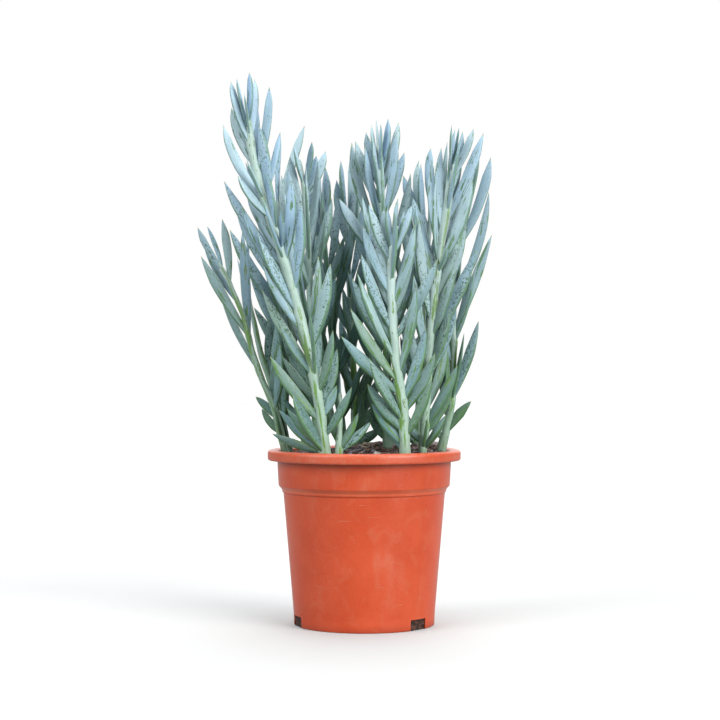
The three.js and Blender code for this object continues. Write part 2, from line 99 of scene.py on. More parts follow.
# %% Set up the lamps
LAMPS = {
    "sun_right": {"from": (0.80, -0.80, 0.50), "softness": 42, "power": 4.9, "tint": (1.0, 0.985, 0.96)},
    "sun_left": {"from": (-0.88, -0.62, 0.62), "softness": 42, "power": 2.9, "tint": (0.97, 0.99, 1.0)},
    "sun_above": {"from": (0.08, 0.05, 1.0), "softness": 60, "power": 4.0, "tint": (0.96, 0.98, 1.0)},
    "sun_behind": {"from": (0.05, 0.90, 0.62), "softness": 70, "power": 1.7, "tint": (0.98, 0.99, 1.0)},
}


def add_sun(name, way, softness, power, tint):
    """A sun with a wide disc that shines from a direction"""
    data = bpy.data.lights.new(name, "SUN")
    data.angle = math.radians(softness)
    data.energy = power
    data.color = tint
    sun = bpy.data.objects.new(name, data)
    sun.rotation_euler = (-Vector(way)).to_track_quat("-Z", "Y").to_euler()
    bpy.context.scene.collection.objects.link(sun)


for name, lamp in LAMPS.items():
    add_sun(name, lamp["from"], lamp["softness"], lamp["power"], lamp["tint"])
print("lamps:", ", ".join(LAMPS))

# %% [markdown]
# A weak sky fills the shade between the leaves. One sky could do both jobs, but a sky that is white to the
# camera would also wash the shade out, so it shows as white and lights the plant with much less.

# %% Set up the sky
SKY_FILL = 0.27
SKY_TINT = (0.95, 1.0, 0.97, 1)
SKY_SEEN = 1.0

world = bpy.data.worlds.new("sky")
world.use_nodes = True
bpy.context.scene.world = world
sky = world.node_tree.nodes
sky.clear()
fill = sky.new("ShaderNodeBackground")
fill.inputs["Color"].default_value = SKY_TINT
fill.inputs["Strength"].default_value = SKY_FILL
seen = sky.new("ShaderNodeBackground")
seen.inputs["Color"].default_value = (1, 1, 1, 1)
seen.inputs["Strength"].default_value = SKY_SEEN
path = sky.new("ShaderNodeLightPath")
either = sky.new("ShaderNodeMixShader")
out = sky.new("ShaderNodeOutputWorld")
links = world.node_tree.links
links.new(path.outputs["Is Camera Ray"], either.inputs[0])
links.new(fill.outputs[0], either.inputs[1])
links.new(seen.outputs[0], either.inputs[2])
links.new(either.outputs[0], out.inputs[0])
bpy.context.scene.view_settings.view_transform = "Standard"
print("sky:", SKY_FILL, "of the white that the camera sees")

# %% [markdown]
# The colours in this lesson are written as they should look in the picture, from 0 to 255. The lamps together
# are brighter than a plain white light, so the skin itself has to be darker by that much. A leaf that catches
# all of them may need more than 255 here.

# %% Make a helper for colours
LAMP_GAIN = 2.2


def srgb(red, green, blue):
    """The linear colour that a skin needs for the lamps to show it as this one"""
    shares = [channel / 255 for channel in (red, green, blue)]
    shown = [c / 12.92 if c <= 0.04045 else ((c + 0.055) / 1.055) ** 2.4 for c in shares]
    return [c / LAMP_GAIN for c in shown] + [1.0]


print("a white skin is", round(srgb(255, 255, 255)[0], 3), "in itself")

# %% [markdown]
# A material is a small recipe of nodes. Writing each node out takes many lines, so this helper lets a recipe
# say what it needs in a word, such as noise or between, and takes a number, a colour or another node's
# output. How fine a pattern is says how often it repeats in a metre, or in a millimetre where the place is
# one that a leaf or a stem keeps.

# %% Make a helper for recipes
class Recipe:
    """Adds nodes to a tree. Every input may be a number, a colour or another node's output."""

    def __init__(self, tree):
        self.tree = tree

    def feed(self, sockets, inputs):
        """Links a node's output to a socket, or sets the socket to a number or a colour"""
        for key, value in inputs.items():
            if isinstance(value, bpy.types.NodeSocket):
                self.tree.links.new(value, sockets[key])
            else:
                sockets[key].default_value = value

    def node(self, kind, inputs, **settings):
        made = self.tree.nodes.new(kind)
        for name, value in settings.items():
            setattr(made, name, value)
        self.feed(made.inputs, inputs)
        return made

    def math(self, operation, a, b=0.0):
        return self.node("ShaderNodeMath", {0: a, 1: b}, operation=operation).outputs[0]

    def between(self, value, low, high, to_low=0.0, to_high=1.0):
        """Goes smoothly from one value to another as the input goes from low to high"""
        inputs = {"Value": value, "From Min": low, "From Max": high, "To Min": to_low, "To Max": to_high}
        return self.node("ShaderNodeMapRange", inputs, interpolation_type="SMOOTHSTEP").outputs["Result"]

    def mix(self, share, first, second, kind="MIX"):
        """The first colour with a share of the second laid over it"""
        inputs = {0: share, 6: first, 7: second}
        return self.node("ShaderNodeMix", inputs, data_type="RGBA", blend_type=kind).outputs[2]

    def stretch(self, vector, scale):
        """Places for a pattern that is drawn out along the directions whose scale is small"""
        inputs = {"Vector": vector, "Scale": scale}
        return self.node("ShaderNodeMapping", inputs).outputs[0]

    def noise(self, vector, scale, detail=2.0, roughness=0.5, distortion=0.0):
        """A cloudy pattern: how fine it is, how many finer layers it has and how much they count"""
        inputs = {
            "Vector": vector, "Scale": scale, "Detail": detail, "Roughness": roughness,
            "Distortion": distortion,
        }
        return self.node("ShaderNodeTexNoise", inputs).outputs["Fac"]

    def spots(self, vector, scale):
        """How far a point is from the nearest of many scattered spots"""
        inputs = {"Vector": vector, "Scale": scale}
        return self.node("ShaderNodeTexVoronoi", inputs, feature="F1").outputs["Distance"]

    def attribute(self, name, output="Fac"):
        return self.node("ShaderNodeAttribute", {}, attribute_name=name).outputs[output]

    def place(self):
        """Where a point is on the whole object, in metres"""
        return self.node("ShaderNodeTexCoord", {}).outputs["Object"]

    def height(self):
        """How high a point is above the ground, in metres"""
        return self.node("ShaderNodeSeparateXYZ", {0: self.place()}).outputs["Z"]

    def bump(self, height, strength, distance):
        """The normal of a surface that stands out by up to a distance in metres"""
        inputs = {"Height": height, "Strength": strength, "Distance": distance}
        return self.node("ShaderNodeBump", inputs).outputs["Normal"]

    def group(self, group, inputs):
        return self.node("ShaderNodeGroup", inputs, node_tree=group).outputs


print("recipe helper ready")

# %% [markdown]
# Most skins here need a material of their own, with one principled shader. An effect that two of them share
# is a node group instead, which has named sockets and can be set differently in each.

# %% Make helpers for groups and materials
FLOAT = "NodeSocketFloat"
VECTOR = "NodeSocketVector"


def make_group(name, inputs, outputs):
    """An empty shader node group with named sockets, its recipe, and what comes in and goes out"""
    tree = bpy.data.node_groups.new(name, "ShaderNodeTree")
    for label, kind, value in inputs:
        socket = tree.interface.new_socket(name=label, in_out="INPUT", socket_type=kind)
        if value is not None:
            socket.default_value = value
    for label, kind in outputs:
        tree.interface.new_socket(name=label, in_out="OUTPUT", socket_type=kind)
    entry = tree.nodes.new("NodeGroupInput")
    leave = tree.nodes.new("NodeGroupOutput")
    return tree, Recipe(tree), entry.outputs, leave.inputs


def make_material(name):
    """A material with one principled shader, and the recipe that feeds it"""
    material = bpy.data.materials.new(name)
    material.use_nodes = True
    shader = material.node_tree.nodes["Principled BSDF"]
    return material, Recipe(material.node_tree), shader.inputs


print("group and material helpers ready")

# %% [markdown]
# The plant stands on a white sheet. A plain white plane is enough, because the lamps are large and the
# shadow round the foot of the pot is what makes the pot stand on something. It throws back less light than
# it shows, as a dark table round the sheet would, or the undersides of the leaves would have no shade.

# %% Lay the white sheet
SHEET_HALF = 6.0
SHEET_WHITE = 0.352
SHEET_BOUNCE = 0.2

sheet_material, r, shader = make_material("white_sheet")
camera_looks = r.node("ShaderNodeLightPath", {}).outputs["Is Camera Ray"]
r.feed(shader, {
    "Base Color": r.between(camera_looks, 0.0, 1.0, SHEET_BOUNCE, SHEET_WHITE),
    "Roughness": r.between(r.noise(r.place(), 9.0), 0.0, 1.0, 0.75, 0.9),
})

corners = [(x * SHEET_HALF, y * SHEET_HALF, 0) for x, y in ((-1, -1), (1, -1), (1, 1), (-1, 1))]
sheet_mesh = bpy.data.meshes.new("white_sheet")
sheet_mesh.from_pydata(corners, [], [(0, 1, 2, 3)])
sheet_mesh.materials.append(sheet_material)
sheet = bpy.data.objects.new("white_sheet", sheet_mesh)
bpy.context.scene.collection.objects.link(sheet)
sheet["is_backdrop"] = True
print("white sheet,", 2 * SHEET_HALF, "m wide")

# %% [markdown]
# The plant grows by one rule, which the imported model's source uses too. Each stem is a smooth curve through a
# few points. The first tables give those points, and the leaves that can be counted in the picture: the
# height of the foot, where the tip is, how far it reaches to the back, the width and the bow. All sizes here
# are in millimetres, as in that source, and a piece is turned into metres when it is made.

# %% List the stems and the leaves that show
STEMS = [
    {
        "name": "stem_front_left", "thick": (6.8, 5.2), "places": 44, "crown": 362,
        "route": [
            (-25, -44, 115), (-31, -44, 158), (-42, -43, 207), (-56, -42, 254), (-70, -40, 298),
            (-77, -38, 336),
        ],
        "seen": [
            (116, -56, 145, 9, 6.6), (116, -46, 155, -13, 9.4), (118, -61, 129, 2, 5.8),
            (137, -61, 180, -6, 7.6), (139, -18, 161, -3, 5.8), (165, -36, 214, -16, 5.6),
            (167, -54, 199, -9, 5.4), (171, -67, 224, 6, 7), (182, -22, 240, -6, 8.2),
            (195, -66, 241, -2, 6), (217, -80, 278, 2, 7), (214, -84, 276, 8, 6.6, 0.1),
            (241, -66, 283, -12, 6.2), (241, -48, 294, -4, 8), (249, -54, 275, -13, 5.6),
            (238, -92, 295, 8, 7, 0.1), (260, -64, 298, -5, 7), (270, -82, 297, -7, 6.2, 0.1),
            (282, -76, 307, -13, 5.4), (282, -55, 327, 5, 4.4, 0.03), (280, -92, 331, 0, 6.4, 0.13),
            (299, -62, 356, 0, 6), (304, -87, 343, 5, 6.4, 0.12), (317, -87, 359, -3, 6.6),
            (321, -72, 362, 6, 5.2), (322, -78, 351, -9, 4.6), (326, -83, 361, -9, 5.2),
            (331, -75, 365, -3, 5.2),
        ],
    },
    {
        "name": "stem_front_right", "thick": (7, 4.6), "places": 30, "crown": 281,
        "route": [
            (27, -42, 114), (25, -42, 148), (21, -42, 174), (18, -42, 211), (18, -41, 243), (21, -40, 261),
        ],
        "seen": [
            (118, 6, 147, 9, 6.2), (131, 2, 162, -4, 7.8), (150, 40, 199, -3, 7.6), (155, -15, 193, -5, 8),
            (180, -8, 231, 2, 7.4), (191, 47, 242, -4, 7.2), (196, -2, 246, -6, 6.6),
            (213, 33, 266, -3, 6.8), (219, -1, 265, 2, 6.2), (241, 3, 279, -3, 6.4), (246, 31, 279, 2, 5.4),
            (249, 15, 276, -5, 5.2), (249, 26, 275, -6, 5), (253, 22, 283, -3, 5),
        ],
    },
    {
        "name": "stem_right", "thick": (6, 5.4), "places": 40, "crown": 327,
        "route": [
            (38, -31, 114), (40, -30, 139), (42, -30, 178), (46, -29, 217), (50, -28, 250), (54, -27, 273),
            (58, -26, 306),
        ],
        "seen": [
            (116, 41, 140, -14, 6.2), (116, 53, 142, -15, 7), (134, 61, 174, -4, 7.6),
            (138, 34, 164, -5, 5.6), (166, 61, 213, 4, 6.6), (168, 56, 211, -6, 7),
            (234, 55, 257, -12, 4.6), (235, 71, 295, -7, 8.2), (236, 32, 285, 4, 7),
            (186, 74, 250, 6, 8, 0.04), (239, 47, 296, -9, 5.6), (260, 51, 318, 4, 6),
            (266, 79, 328, 4, 6.8, 0.04), (283, 65, 329, 3, 5.4), (288, 60, 330, 4, 5),
            (296, 72, 330, 2, 5.4), (300, 57, 331, -3, 5), (304, 62, 330, -5, 4.8),
        ],
    },
    {
        "name": "stem_far_left", "thick": (5.4, 2.6), "places": 18, "crown": 226,
        "route": [
            (-53, -4, 115), (-60, -5, 144), (-69, -7, 166), (-75, -9, 184), (-81, -10, 207),
            (-90, -12, 229), (-95, -13, 239),
        ],
        "seen": [
            (128, -69, 145, 3, 5.6, 0.1), (138, -73, 153, 0, 5.6, -0.05), (170, -96, 219, 3, 6.8, 0.03),
            (193, -82, 264, 6, 7.6, 0), (194, -109, 247, -4, 6.6, 0.03), (216, -107, 252, 4, 6, 0.05),
            (229, -95, 272, 1, 6, 0.06), (237, -111, 266, -2, 5.4, 0.09), (238, -105, 267, 3, 4.4),
        ],
    },
    {
        "name": "stem_centre_left", "thick": (5.8, 3), "places": 31, "crown": 317,
        "route": [(-31, -6, 116), (-35, -6, 178), (-37, -4, 245), (-40, -2, 287), (-43, 0, 309)],
        "seen": [
            (238, -22, 283, -6, 7), (268, -50, 315, 3, 6.4), (285, -26, 319, 5, 6.2),
            (292, -32, 315, 3, 5.2), (294, -35, 324, -2, 5.6), (296, -47, 322, -4, 5.4),
        ],
    },
    {
        "name": "stem_centre_right", "thick": (6, 3.8), "places": 31, "crown": 331,
        "route": [(16, -12, 116), (15, -10, 191), (13, -8, 258), (11, -8, 285), (9, -6, 318)],
        "seen": [
            (122, 3, 144, 4, 6.6), (243, -17, 286, 0, 7.4), (256, -8.4, 324, 4, 7.4, 0.13),
            (272, 27, 317, 3, 7, 0.02), (277, -6, 324, -3, 7, 0.05), (289, 23, 337, 0, 6),
            (298, 16, 339, -3, 6), (301, 5, 335, -3, 5.6), (303, 11, 335, -7, 5), (308, 8, 339, 3, 4.6),
        ],
    },
    {
        "name": "shoot_front", "thick": (4.6, 3), "places": 4, "crown": 166,
        "route": [(-17, -43, 114), (-16, -42, 135), (-16, -42, 152)],
        "seen": [(116, 4, 137, 4, 5.6), (119, -4, 143, -3, 5.6), (140, -16, 170, -2, 5.4)],
    },
    {
        "name": "stem_far_right", "thick": (6, 2.8), "places": 26, "crown": 262,
        "route": [
            (52, 0, 116), (58, 0, 144), (60, 0, 169), (60, -2, 194), (60, -3, 215), (62, -4, 235),
            (65, -4, 255), (67, -4, 275),
        ],
        "seen": [
            (128, 72, 150, -3, 6.6, -0.06), (148, 67, 196, -8, 6.4, 0.04), (150, 77, 204, -2, 6.6, 0.05),
            (188, 73, 236, -8, 6.4, 0.02), (191, 86, 262, 0, 6.4, 0), (218, 84, 291, 2, 6.2, 0.12),
            (256, 85, 314, 0, 7, 0.09), (260, 77, 321, -6, 6, 0.02),
        ],
    },
    {
        "name": "stem_back_left", "thick": (5.2, 2.8), "places": 15, "crown": 214,
        "route": [
            (-51, 18, 115), (-60, 18, 150), (-70, 17, 180), (-75, 16, 203), (-79, 14, 222), (-81, 12, 242),
        ],
        "seen": [(152, -65, 206, 4, 8, -0.06), (210, -87, 248, 5, 5, 0.06), (232, -80, 262, 6, 5)],
    },
    {
        "name": "stem_centre", "thick": (5.6, 2.8), "places": 19, "crown": 310,
        "route": [(-13, 12, 115), (-20, 12, 172), (-23, 12, 209), (-27, 14, 259), (-30, 14, 289)],
        "seen": [(121, 3, 145, 3, 6.6), (150, -31, 190, 3, 7, 0.03), (262, -26.5, 309, -2, 7, 0.06)],
    },
    {
        "name": "stem_rear_left", "thick": (5.2, 2.8), "places": 20, "crown": 310,
        "route": [(-40, 34, 114), (-46, 38, 164), (-53, 38, 219), (-60, 34, 285)],
        "seen": [
            (168, -76, 214, -10, 8, 0.02), (176, -79, 236, -6, 7, 0.02), (206, -93, 268, -6, 8.6, 0.08),
            (278, -41, 340, -2, 6.2, -0.03), (283, -58, 335, 3, 4.8, -0.06),
        ],
    },
    {
        "name": "stem_rear_right", "thick": (5.4, 2.8), "places": 21, "crown": 318,
        "route": [(36, 30, 114), (39, 32, 164), (42, 32, 219), (46, 30, 285)],
        "seen": [
            (117, 12, 133, 2, 7), (120, 13, 141, -3, 6.8), (122, 21, 152, 3, 6.6), (262, 27, 305, -2, 7),
            (222, 26, 270, -4, 7, 0.03), (268, 38, 316, 3, 5.8, 0.2), (285, 46, 324, 0, 6.4),
        ],
    },
    {
        "name": "stem_rear_centre", "thick": (5.2, 2.8), "places": 19, "crown": 305,
        "route": [(-7, 46, 113), (-7, 46, 164), (-10, 44, 219), (-12, 42, 279)],
        "seen": [
            (119, 6, 146, -4, 7), (124, -1, 152, -6, 6.6), (118, 12, 130, -8, 7), (140, 8, 182, -8, 7),
            (140, -13, 178, -5, 7, 0.05), (150, 14, 196, -6, 7), (158, -24, 206, -4, 7),
            (168, -17, 207, 4, 7, 0.04), (183, -15, 228, -6, 7, -0.05), (212, 2, 256, -5, 7, 0.05),
            (250, -6, 300, -4, 7), (258, -19, 303, -3, 6.6), (258, -9, 324, 0, 7, 0.06),
            (269, -17, 305, 5, 6), (276, -16, 316, 0, 6.8),
        ],
    },
]
print("stems:", len(STEMS), "leaves that show:", sum(len(stem["seen"]) for stem in STEMS))

# %% [markdown]
# The potting mix isn't flat: it has a low mound off the middle and a heap against the rim, and every stem
# starts on it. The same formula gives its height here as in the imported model, so a leaf that clears the mix
# there clears it here.

# %% Give the height of the potting mix
SOIL_LEVEL = 112.5
SOIL_RADIUS = 56.8
MOUND = {"x": 12, "y": 8, "height": 7.5, "spread": 24}
HEAP = {"x": 50, "y": 22, "height": 5, "spread": 9}
RIPPLE = {"height": 0.5, "along": 0.45, "across": 0.52}


def hill(px, py, x, y, height, spread):
    return height * np.exp(-((px - x) ** 2 + (py - y) ** 2) / (2 * spread * spread))


def soil_height(x, y):
    ripple = RIPPLE["height"] * np.sin(x * RIPPLE["along"]) * np.cos(y * RIPPLE["across"])
    return SOIL_LEVEL + hill(x, y, **MOUND) + hill(x, y, **HEAP) + ripple


print("mix at the middle:", round(float(soil_height(0, 0)), 1), "mm")

# %% [markdown]
# A stem needs its axis as points with the length walked so far, so that a leaf can be set at a distance from
# the foot. The curve passes through every point of the route, as a bent rod laid over pins would.

# %% Lay out the axis of every stem
AXIS_STEPS = 48
SAMPLE_STEP = 2.5
FOOT_ABOVE_SOIL = 4


def draw(a, b):
    """A steady draw between 0 and 1 for a pair of whole numbers"""
    value = math.sin(a * 12.9898 + b * 78.233) * 43758.5453
    return value - math.floor(value)


def unit(vector):
    return vector / np.linalg.norm(vector, axis=-1, keepdims=True)


def through(points, steps):
    """Points on the smooth curve through a route"""
    pins = np.array(points, float)
    pins = np.vstack([2 * pins[0] - pins[1], pins, 2 * pins[-1] - pins[-2]])
    spans = len(points) - 1
    line = []
    for step in range(steps + 1):
        walked = spans * step / steps
        i = min(int(math.floor(walked)), spans - 1)
        t = walked - i
        before, start, end, after = pins[i : i + 4]
        leave = 0.5 * (end - before)
        arrive = 0.5 * (after - start)
        curve = 2 * start - 2 * end + leave + arrive
        bend = -3 * start + 3 * end - 2 * leave - arrive
        line.append(start + leave * t + bend * t * t + curve * t * t * t)
    return np.array(line)


class Stem:
    """The axis of one stem, with the places where leaves have been set"""

    def __init__(self, row, seed):
        self.name = row["name"]
        self.seed = seed
        self.thick = row["thick"]
        self.places = row["places"]
        self.crown = row["crown"]
        self.seen = row["seen"]
        self.line = through(row["route"], AXIS_STEPS)
        steps = np.linalg.norm(np.diff(self.line, axis=0), axis=1)
        self.walked = np.concatenate([[0], np.cumsum(steps)])
        self.length = self.walked[-1]
        self.taken = []
        distances = np.arange(0, self.length + 1, SAMPLE_STEP)
        self.samples = np.array([self.place(s)[0] for s in distances])
        self.sample_radii = np.array([self.radius(s) for s in distances])
        self.first = 0
        while self.bare(self.first):
            self.first += 1

    def bare(self, distance):
        x, y, z = self.place(distance)[0]
        return z < soil_height(x, y) + FOOT_ABOVE_SOIL

    def place(self, distance):
        """The point and the direction of the axis at a distance from the foot"""
        s = min(max(distance, 0), self.length)
        last = len(self.line) - 1
        i = min(max(int(np.searchsorted(self.walked, s, side="left")), 1), last)
        share = (s - self.walked[i - 1]) / (self.walked[i] - self.walked[i - 1])
        point = self.line[i - 1] + (self.line[i] - self.line[i - 1]) * share
        along = unit(self.line[min(i + 2, last)] - self.line[max(i - 3, 0)])
        return point, along

    def radius(self, distance):
        share = min(max(distance / self.length, 0), 1)
        return 0.5 * (self.thick[0] * (1 - share) + self.thick[1] * share)

    def distance_at(self, height):
        return float(np.interp(height, self.line[:, 2], self.walked))


stems = [Stem(row, index + 1) for index, row in enumerate(STEMS)]
print("longest stem:", round(max(stem.length for stem in stems)), "mm")

# %% [markdown]
# A leaf of this plant is a flattened finger that stands on edge: its broad faces look sideways, and its upper
# edge faces the stem. It bows a little, like a sabre. Two tables give how wide and how thick it is from the
# foot to the tip, and a curve with one bend gives its middle line.

# %% Describe one leaf
LEAF_WIDTH = np.array([
    (0, 0.38), (0.1, 0.5), (0.22, 0.72), (0.36, 0.9), (0.55, 1), (0.7, 0.96), (0.82, 0.81), (0.92, 0.52),
    (1, 0.02),
])
LEAF_DEPTH = np.array([
    (0, 0.65), (0.1, 0.8), (0.25, 0.97), (0.45, 1), (0.6, 0.95), (0.78, 0.8), (0.9, 0.55), (1, 0.05),
])
LEAF_THICKNESS = 0.42
LEAF_BOW = 0.07
SAMPLES = 13
EDGE_SHARE = 0.85
EDGE_CLEAR = 0.6
SAMPLE_SHARES = np.arange(SAMPLES) / (SAMPLES - 1)


class Leaf:
    """A leaf from a place on a stem to its tip, with a cloud of points that stands for it in tests"""

    def __init__(self, stem, distance, tip, width, bow, twist):
        self.stem = stem
        self.distance = distance
        self.foot, along = stem.place(distance)
        chord = tip - self.foot
        self.tip = tip
        self.length = float(np.linalg.norm(chord))
        axis = chord / self.length
        self.up = unit(along - axis * along.dot(axis))
        self.bend = self.foot + chord * 0.5 - self.up * (bow * self.length)
        self.width = width
        self.twist = twist
        point, wide, _ = self.frames(SAMPLE_SHARES)
        deep = 0.5 * width * LEAF_THICKNESS * np.interp(SAMPLE_SHARES, *LEAF_DEPTH.T)
        reach = 0.5 * width * np.interp(SAMPLE_SHARES, *LEAF_WIDTH.T) * EDGE_SHARE
        edge = wide * reach[:, None]
        self.cloud = np.concatenate([point, point + edge, point - edge])
        self.clear = np.concatenate([deep, deep * EDGE_CLEAR, deep * EDGE_CLEAR])
        self.middle = point.mean(axis=0)

    def frames(self, shares):
        """Points of the middle line, and the directions of breadth and thickness there"""
        t = shares[:, None]
        point = self.foot * (1 - t) ** 2 + self.bend * 2 * t * (1 - t) + self.tip * t * t
        along = unit((self.bend - self.foot) * (1 - t) + (self.tip - self.bend) * t)
        broad = unit(self.up - along * (along @ self.up)[:, None])
        flat = np.cross(along, broad)
        turn = self.twist * t
        wide = broad * np.cos(turn) + flat * np.sin(turn)
        return point, wide, np.cross(along, wide)


print("leaf described by", len(LEAF_WIDTH), "widths and", len(LEAF_DEPTH), "depths")

# %% [markdown]
# Real leaves grow round each other. To get that, a new leaf is tried in its best direction first, and when it
# would touch a neighbour it is nudged, turned, lifted or shortened until it is clear. Physics could push the
# leaves apart too, but a rule gives the same plant each time.

# %% Test whether a leaf is clear
LEAF_CLEAR = 1.3
OWN_CLEAR = 0.6
STEM_CLEAR = 0.9
GROUND_CLEAR = 1
OWN_FROM = 5
GROUND_FROM = 2
REACH_SHARE = 0.62
RIM_ZONE = {"radius": 56, "height": 118.5}
SAMPLE_NUMBER = np.tile(np.arange(SAMPLES), 3)
BEYOND_OWN = SAMPLE_NUMBER >= OWN_FROM
BEYOND_GROUND = SAMPLE_NUMBER >= GROUND_FROM


class Crowd:
    """The leaves that are set so far, as arrays that can be tested all at once"""

    def __init__(self):
        self.leaves = []
        self.clouds = np.empty((0, 3 * SAMPLES, 3))
        self.clears = np.empty((0, 3 * SAMPLES))
        self.middles = np.empty((0, 3))
        self.lengths = np.empty(0)
        self.seeds = np.empty(0, int)

    def add(self, leaf):
        self.leaves.append(leaf)
        self.clouds = np.concatenate([self.clouds, leaf.cloud[None]])
        self.clears = np.concatenate([self.clears, leaf.clear[None]])
        self.middles = np.vstack([self.middles, leaf.middle])
        self.lengths = np.append(self.lengths, leaf.length)
        self.seeds = np.append(self.seeds, leaf.stem.seed)

    def touches(self, leaf, own, gap, counted):
        """Whether leaves of the same stem, or of the others, come nearer to this leaf than a gap"""
        apart = np.linalg.norm(self.middles - leaf.middle, axis=1)
        in_reach = apart <= REACH_SHARE * (self.lengths + leaf.length)
        close = in_reach & ((self.seeds == leaf.stem.seed) == own)
        if not close.any():
            return False
        theirs = self.clouds[close][:, counted].reshape(-1, 3)
        room = self.clears[close][:, counted].reshape(-1)
        gaps = distances(leaf.cloud[counted], theirs) - leaf.clear[counted][:, None] - room
        return bool((gaps < gap).any())


def distances(some, others):
    return np.sqrt(((some[:, None, :] - others[None, :, :]) ** 2).sum(axis=2))


def near_ground(leaf):
    x, y, z = leaf.cloud[BEYOND_GROUND].T
    ground = np.where(np.hypot(x, y) > RIM_ZONE["radius"], RIM_ZONE["height"], soil_height(x, y))
    return bool((z - leaf.clear[BEYOND_GROUND] < ground + GROUND_CLEAR).any())


def near_stem(leaf, stem):
    gaps = distances(leaf.cloud, stem.samples) - leaf.clear[:, None] - stem.sample_radii
    return bool((gaps < STEM_CLEAR).any())


def fits(leaf, crowd, clear_of_own):
    if near_ground(leaf):
        return False
    if any(stem is not leaf.stem and near_stem(leaf, stem) for stem in stems):
        return False
    if crowd.touches(leaf, False, LEAF_CLEAR, SAMPLE_NUMBER >= 0):
        return False
    return not (clear_of_own and crowd.touches(leaf, True, OWN_CLEAR, BEYOND_OWN))


print("a leaf is tested at", 3 * SAMPLES, "points")

# %% [markdown]
# Leaves that show in the picture come first. Each has its own place across and its own height, but a picture
# doesn't say how deep it is, so the tip may move to the front or the back until the leaf is clear.

# %% Set the leaves that show
NUDGES = (0, -4, 4, -8, 8, -12, 12, -17, 17, -22, 22)
SEEN_TWIST = 0.25


def seen_leaf(stem, row, index, crowd):
    """A leaf of the picture: its tip moves to the front or the back until it is clear"""
    foot_height, tip_x, tip_z, reach, width = row[:5]
    bow = row[5] if len(row) > 5 else LEAF_BOW
    s = max(stem.distance_at(foot_height), stem.first)
    foot = stem.place(s)[0]
    twist = SEEN_TWIST * (draw(stem.seed, index) - 0.5)
    stem.taken.append(s)
    for clear_of_own in (True, False):
        for nudge in NUDGES:
            tip = np.array((tip_x, foot[1] + reach + nudge, tip_z))
            leaf = Leaf(stem, s, tip, width, bow, twist)
            if fits(leaf, crowd, clear_of_own):
                return leaf
    return None


crowd = Crowd()
for stem in stems:
    for index, row in enumerate(stem.seen):
        leaf = seen_leaf(stem, row, index, crowd)
        if leaf:
            crowd.add(leaf)
print("leaves that show:", len(crowd.leaves))

# %% [markdown]
# Between and behind the leaves that show, the plant follows the golden angle: each leaf is turned by about
# 137.5 degrees from the one below it, so that none stands straight over its neighbour and all get light.
# Below their tufts the foremost stems carry no leaf straight in front, so the bare stem shows there. The two
# tables are the left and the right side of the clump, which no such leaf may pass.

# %% Set the other leaves by rule
GOLDEN_ANGLE = math.radians(137.508)
RULE = {
    "shortest": 36, "longest": 62, "full_at": 0.35, "tuft": 40, "tuft_share": 0.62,
    "lean_tip": 10, "lean_foot": 26, "lean_power": 1.6, "twist": 0.7,
    "width": 6.9, "width_loss": 1.8, "crowd_power": 0.92, "clear_of_seen": 2.4,
    "open_from": -25, "open_facing": -0.6,
}
DRAWS = {"length": 50, "lean": 90, "width": 130, "twist": 170}
TURNS = (0, 0.35, -0.35, 0.7, -0.7, 1.1, -1.1, 1.6, -1.6)
LIFTS = (1, 0.65)
TRIES = ((True, 1), (True, 0.8), (False, 1), (False, 0.8))
CLUMP_LEFT = np.array([
    (114, -62), (150, -60), (205, -60), (235, -62), (262, -76), (285, -80), (305, -79), (320, -84),
    (361, -88),
])
CLUMP_RIGHT = np.array([
    (114, 60), (150, 58), (178, 60), (225, 60), (250, 61), (268, 68), (290, 76), (320, 80),
])


def inside_clump(stem, tip):
    left = np.interp(tip[2], *CLUMP_LEFT.T)
    right = np.interp(tip[2], *CLUMP_RIGHT.T)
    return tip[2] <= stem.crown and left < tip[0] < right


def rule_leaf(stem, index, crowd):
    """A leaf by the golden angle: it is turned, lifted or shortened until it is clear"""
    share = (index + 0.5) / stem.places
    s = stem.first + (stem.length - stem.first) * share ** RULE["crowd_power"]
    if any(abs(other - s) < RULE["clear_of_seen"] for other in stem.taken):
        return None
    foot, along = stem.place(s)
    side = unit(np.cross(along, (0, 1, 0)))
    back = np.cross(along, side)
    full = RULE["shortest"] + (RULE["longest"] - RULE["shortest"]) * min(share / RULE["full_at"], 1)
    left = min((stem.length - s) / RULE["tuft"], 1)
    tufted = RULE["tuft_share"] + (1 - RULE["tuft_share"]) * left
    length = full * (0.9 + 0.2 * draw(stem.seed, index + DRAWS["length"])) * tufted
    lean_degrees = RULE["lean_tip"] + RULE["lean_foot"] * (1 - share) ** RULE["lean_power"]
    lean = math.radians(lean_degrees) * (0.85 + 0.3 * draw(stem.seed, index + DRAWS["lean"]))
    narrowing = RULE["width_loss"] * max(0, 2 * share - 1)
    width = (RULE["width"] - narrowing) * (0.9 + 0.2 * draw(stem.seed, index + DRAWS["width"]))
    twist = RULE["twist"] * (draw(stem.seed, index + DRAWS["twist"]) - 0.5)
    for clear_of_own, size in TRIES:
        for turn in TURNS:
            azimuth = index * GOLDEN_ANGLE + turn
            out = side * math.cos(azimuth) + back * math.sin(azimuth)
            if foot[1] < RULE["open_from"] and left == 1 and out[1] < RULE["open_facing"]:
                continue
            for lift in LIFTS:
                reach = length * size
                tip = foot + along * (reach * math.cos(lean * lift)) + out * (reach * math.sin(lean * lift))
                if not inside_clump(stem, tip):
                    continue
                leaf = Leaf(stem, s, tip, width, LEAF_BOW, twist)
                if fits(leaf, crowd, clear_of_own):
                    return leaf
    return None


for stem in stems:
    for index in range(stem.places):
        leaf = rule_leaf(stem, index, crowd)
        if leaf:
            crowd.add(leaf)
print("leaves in all:", len(crowd.leaves))

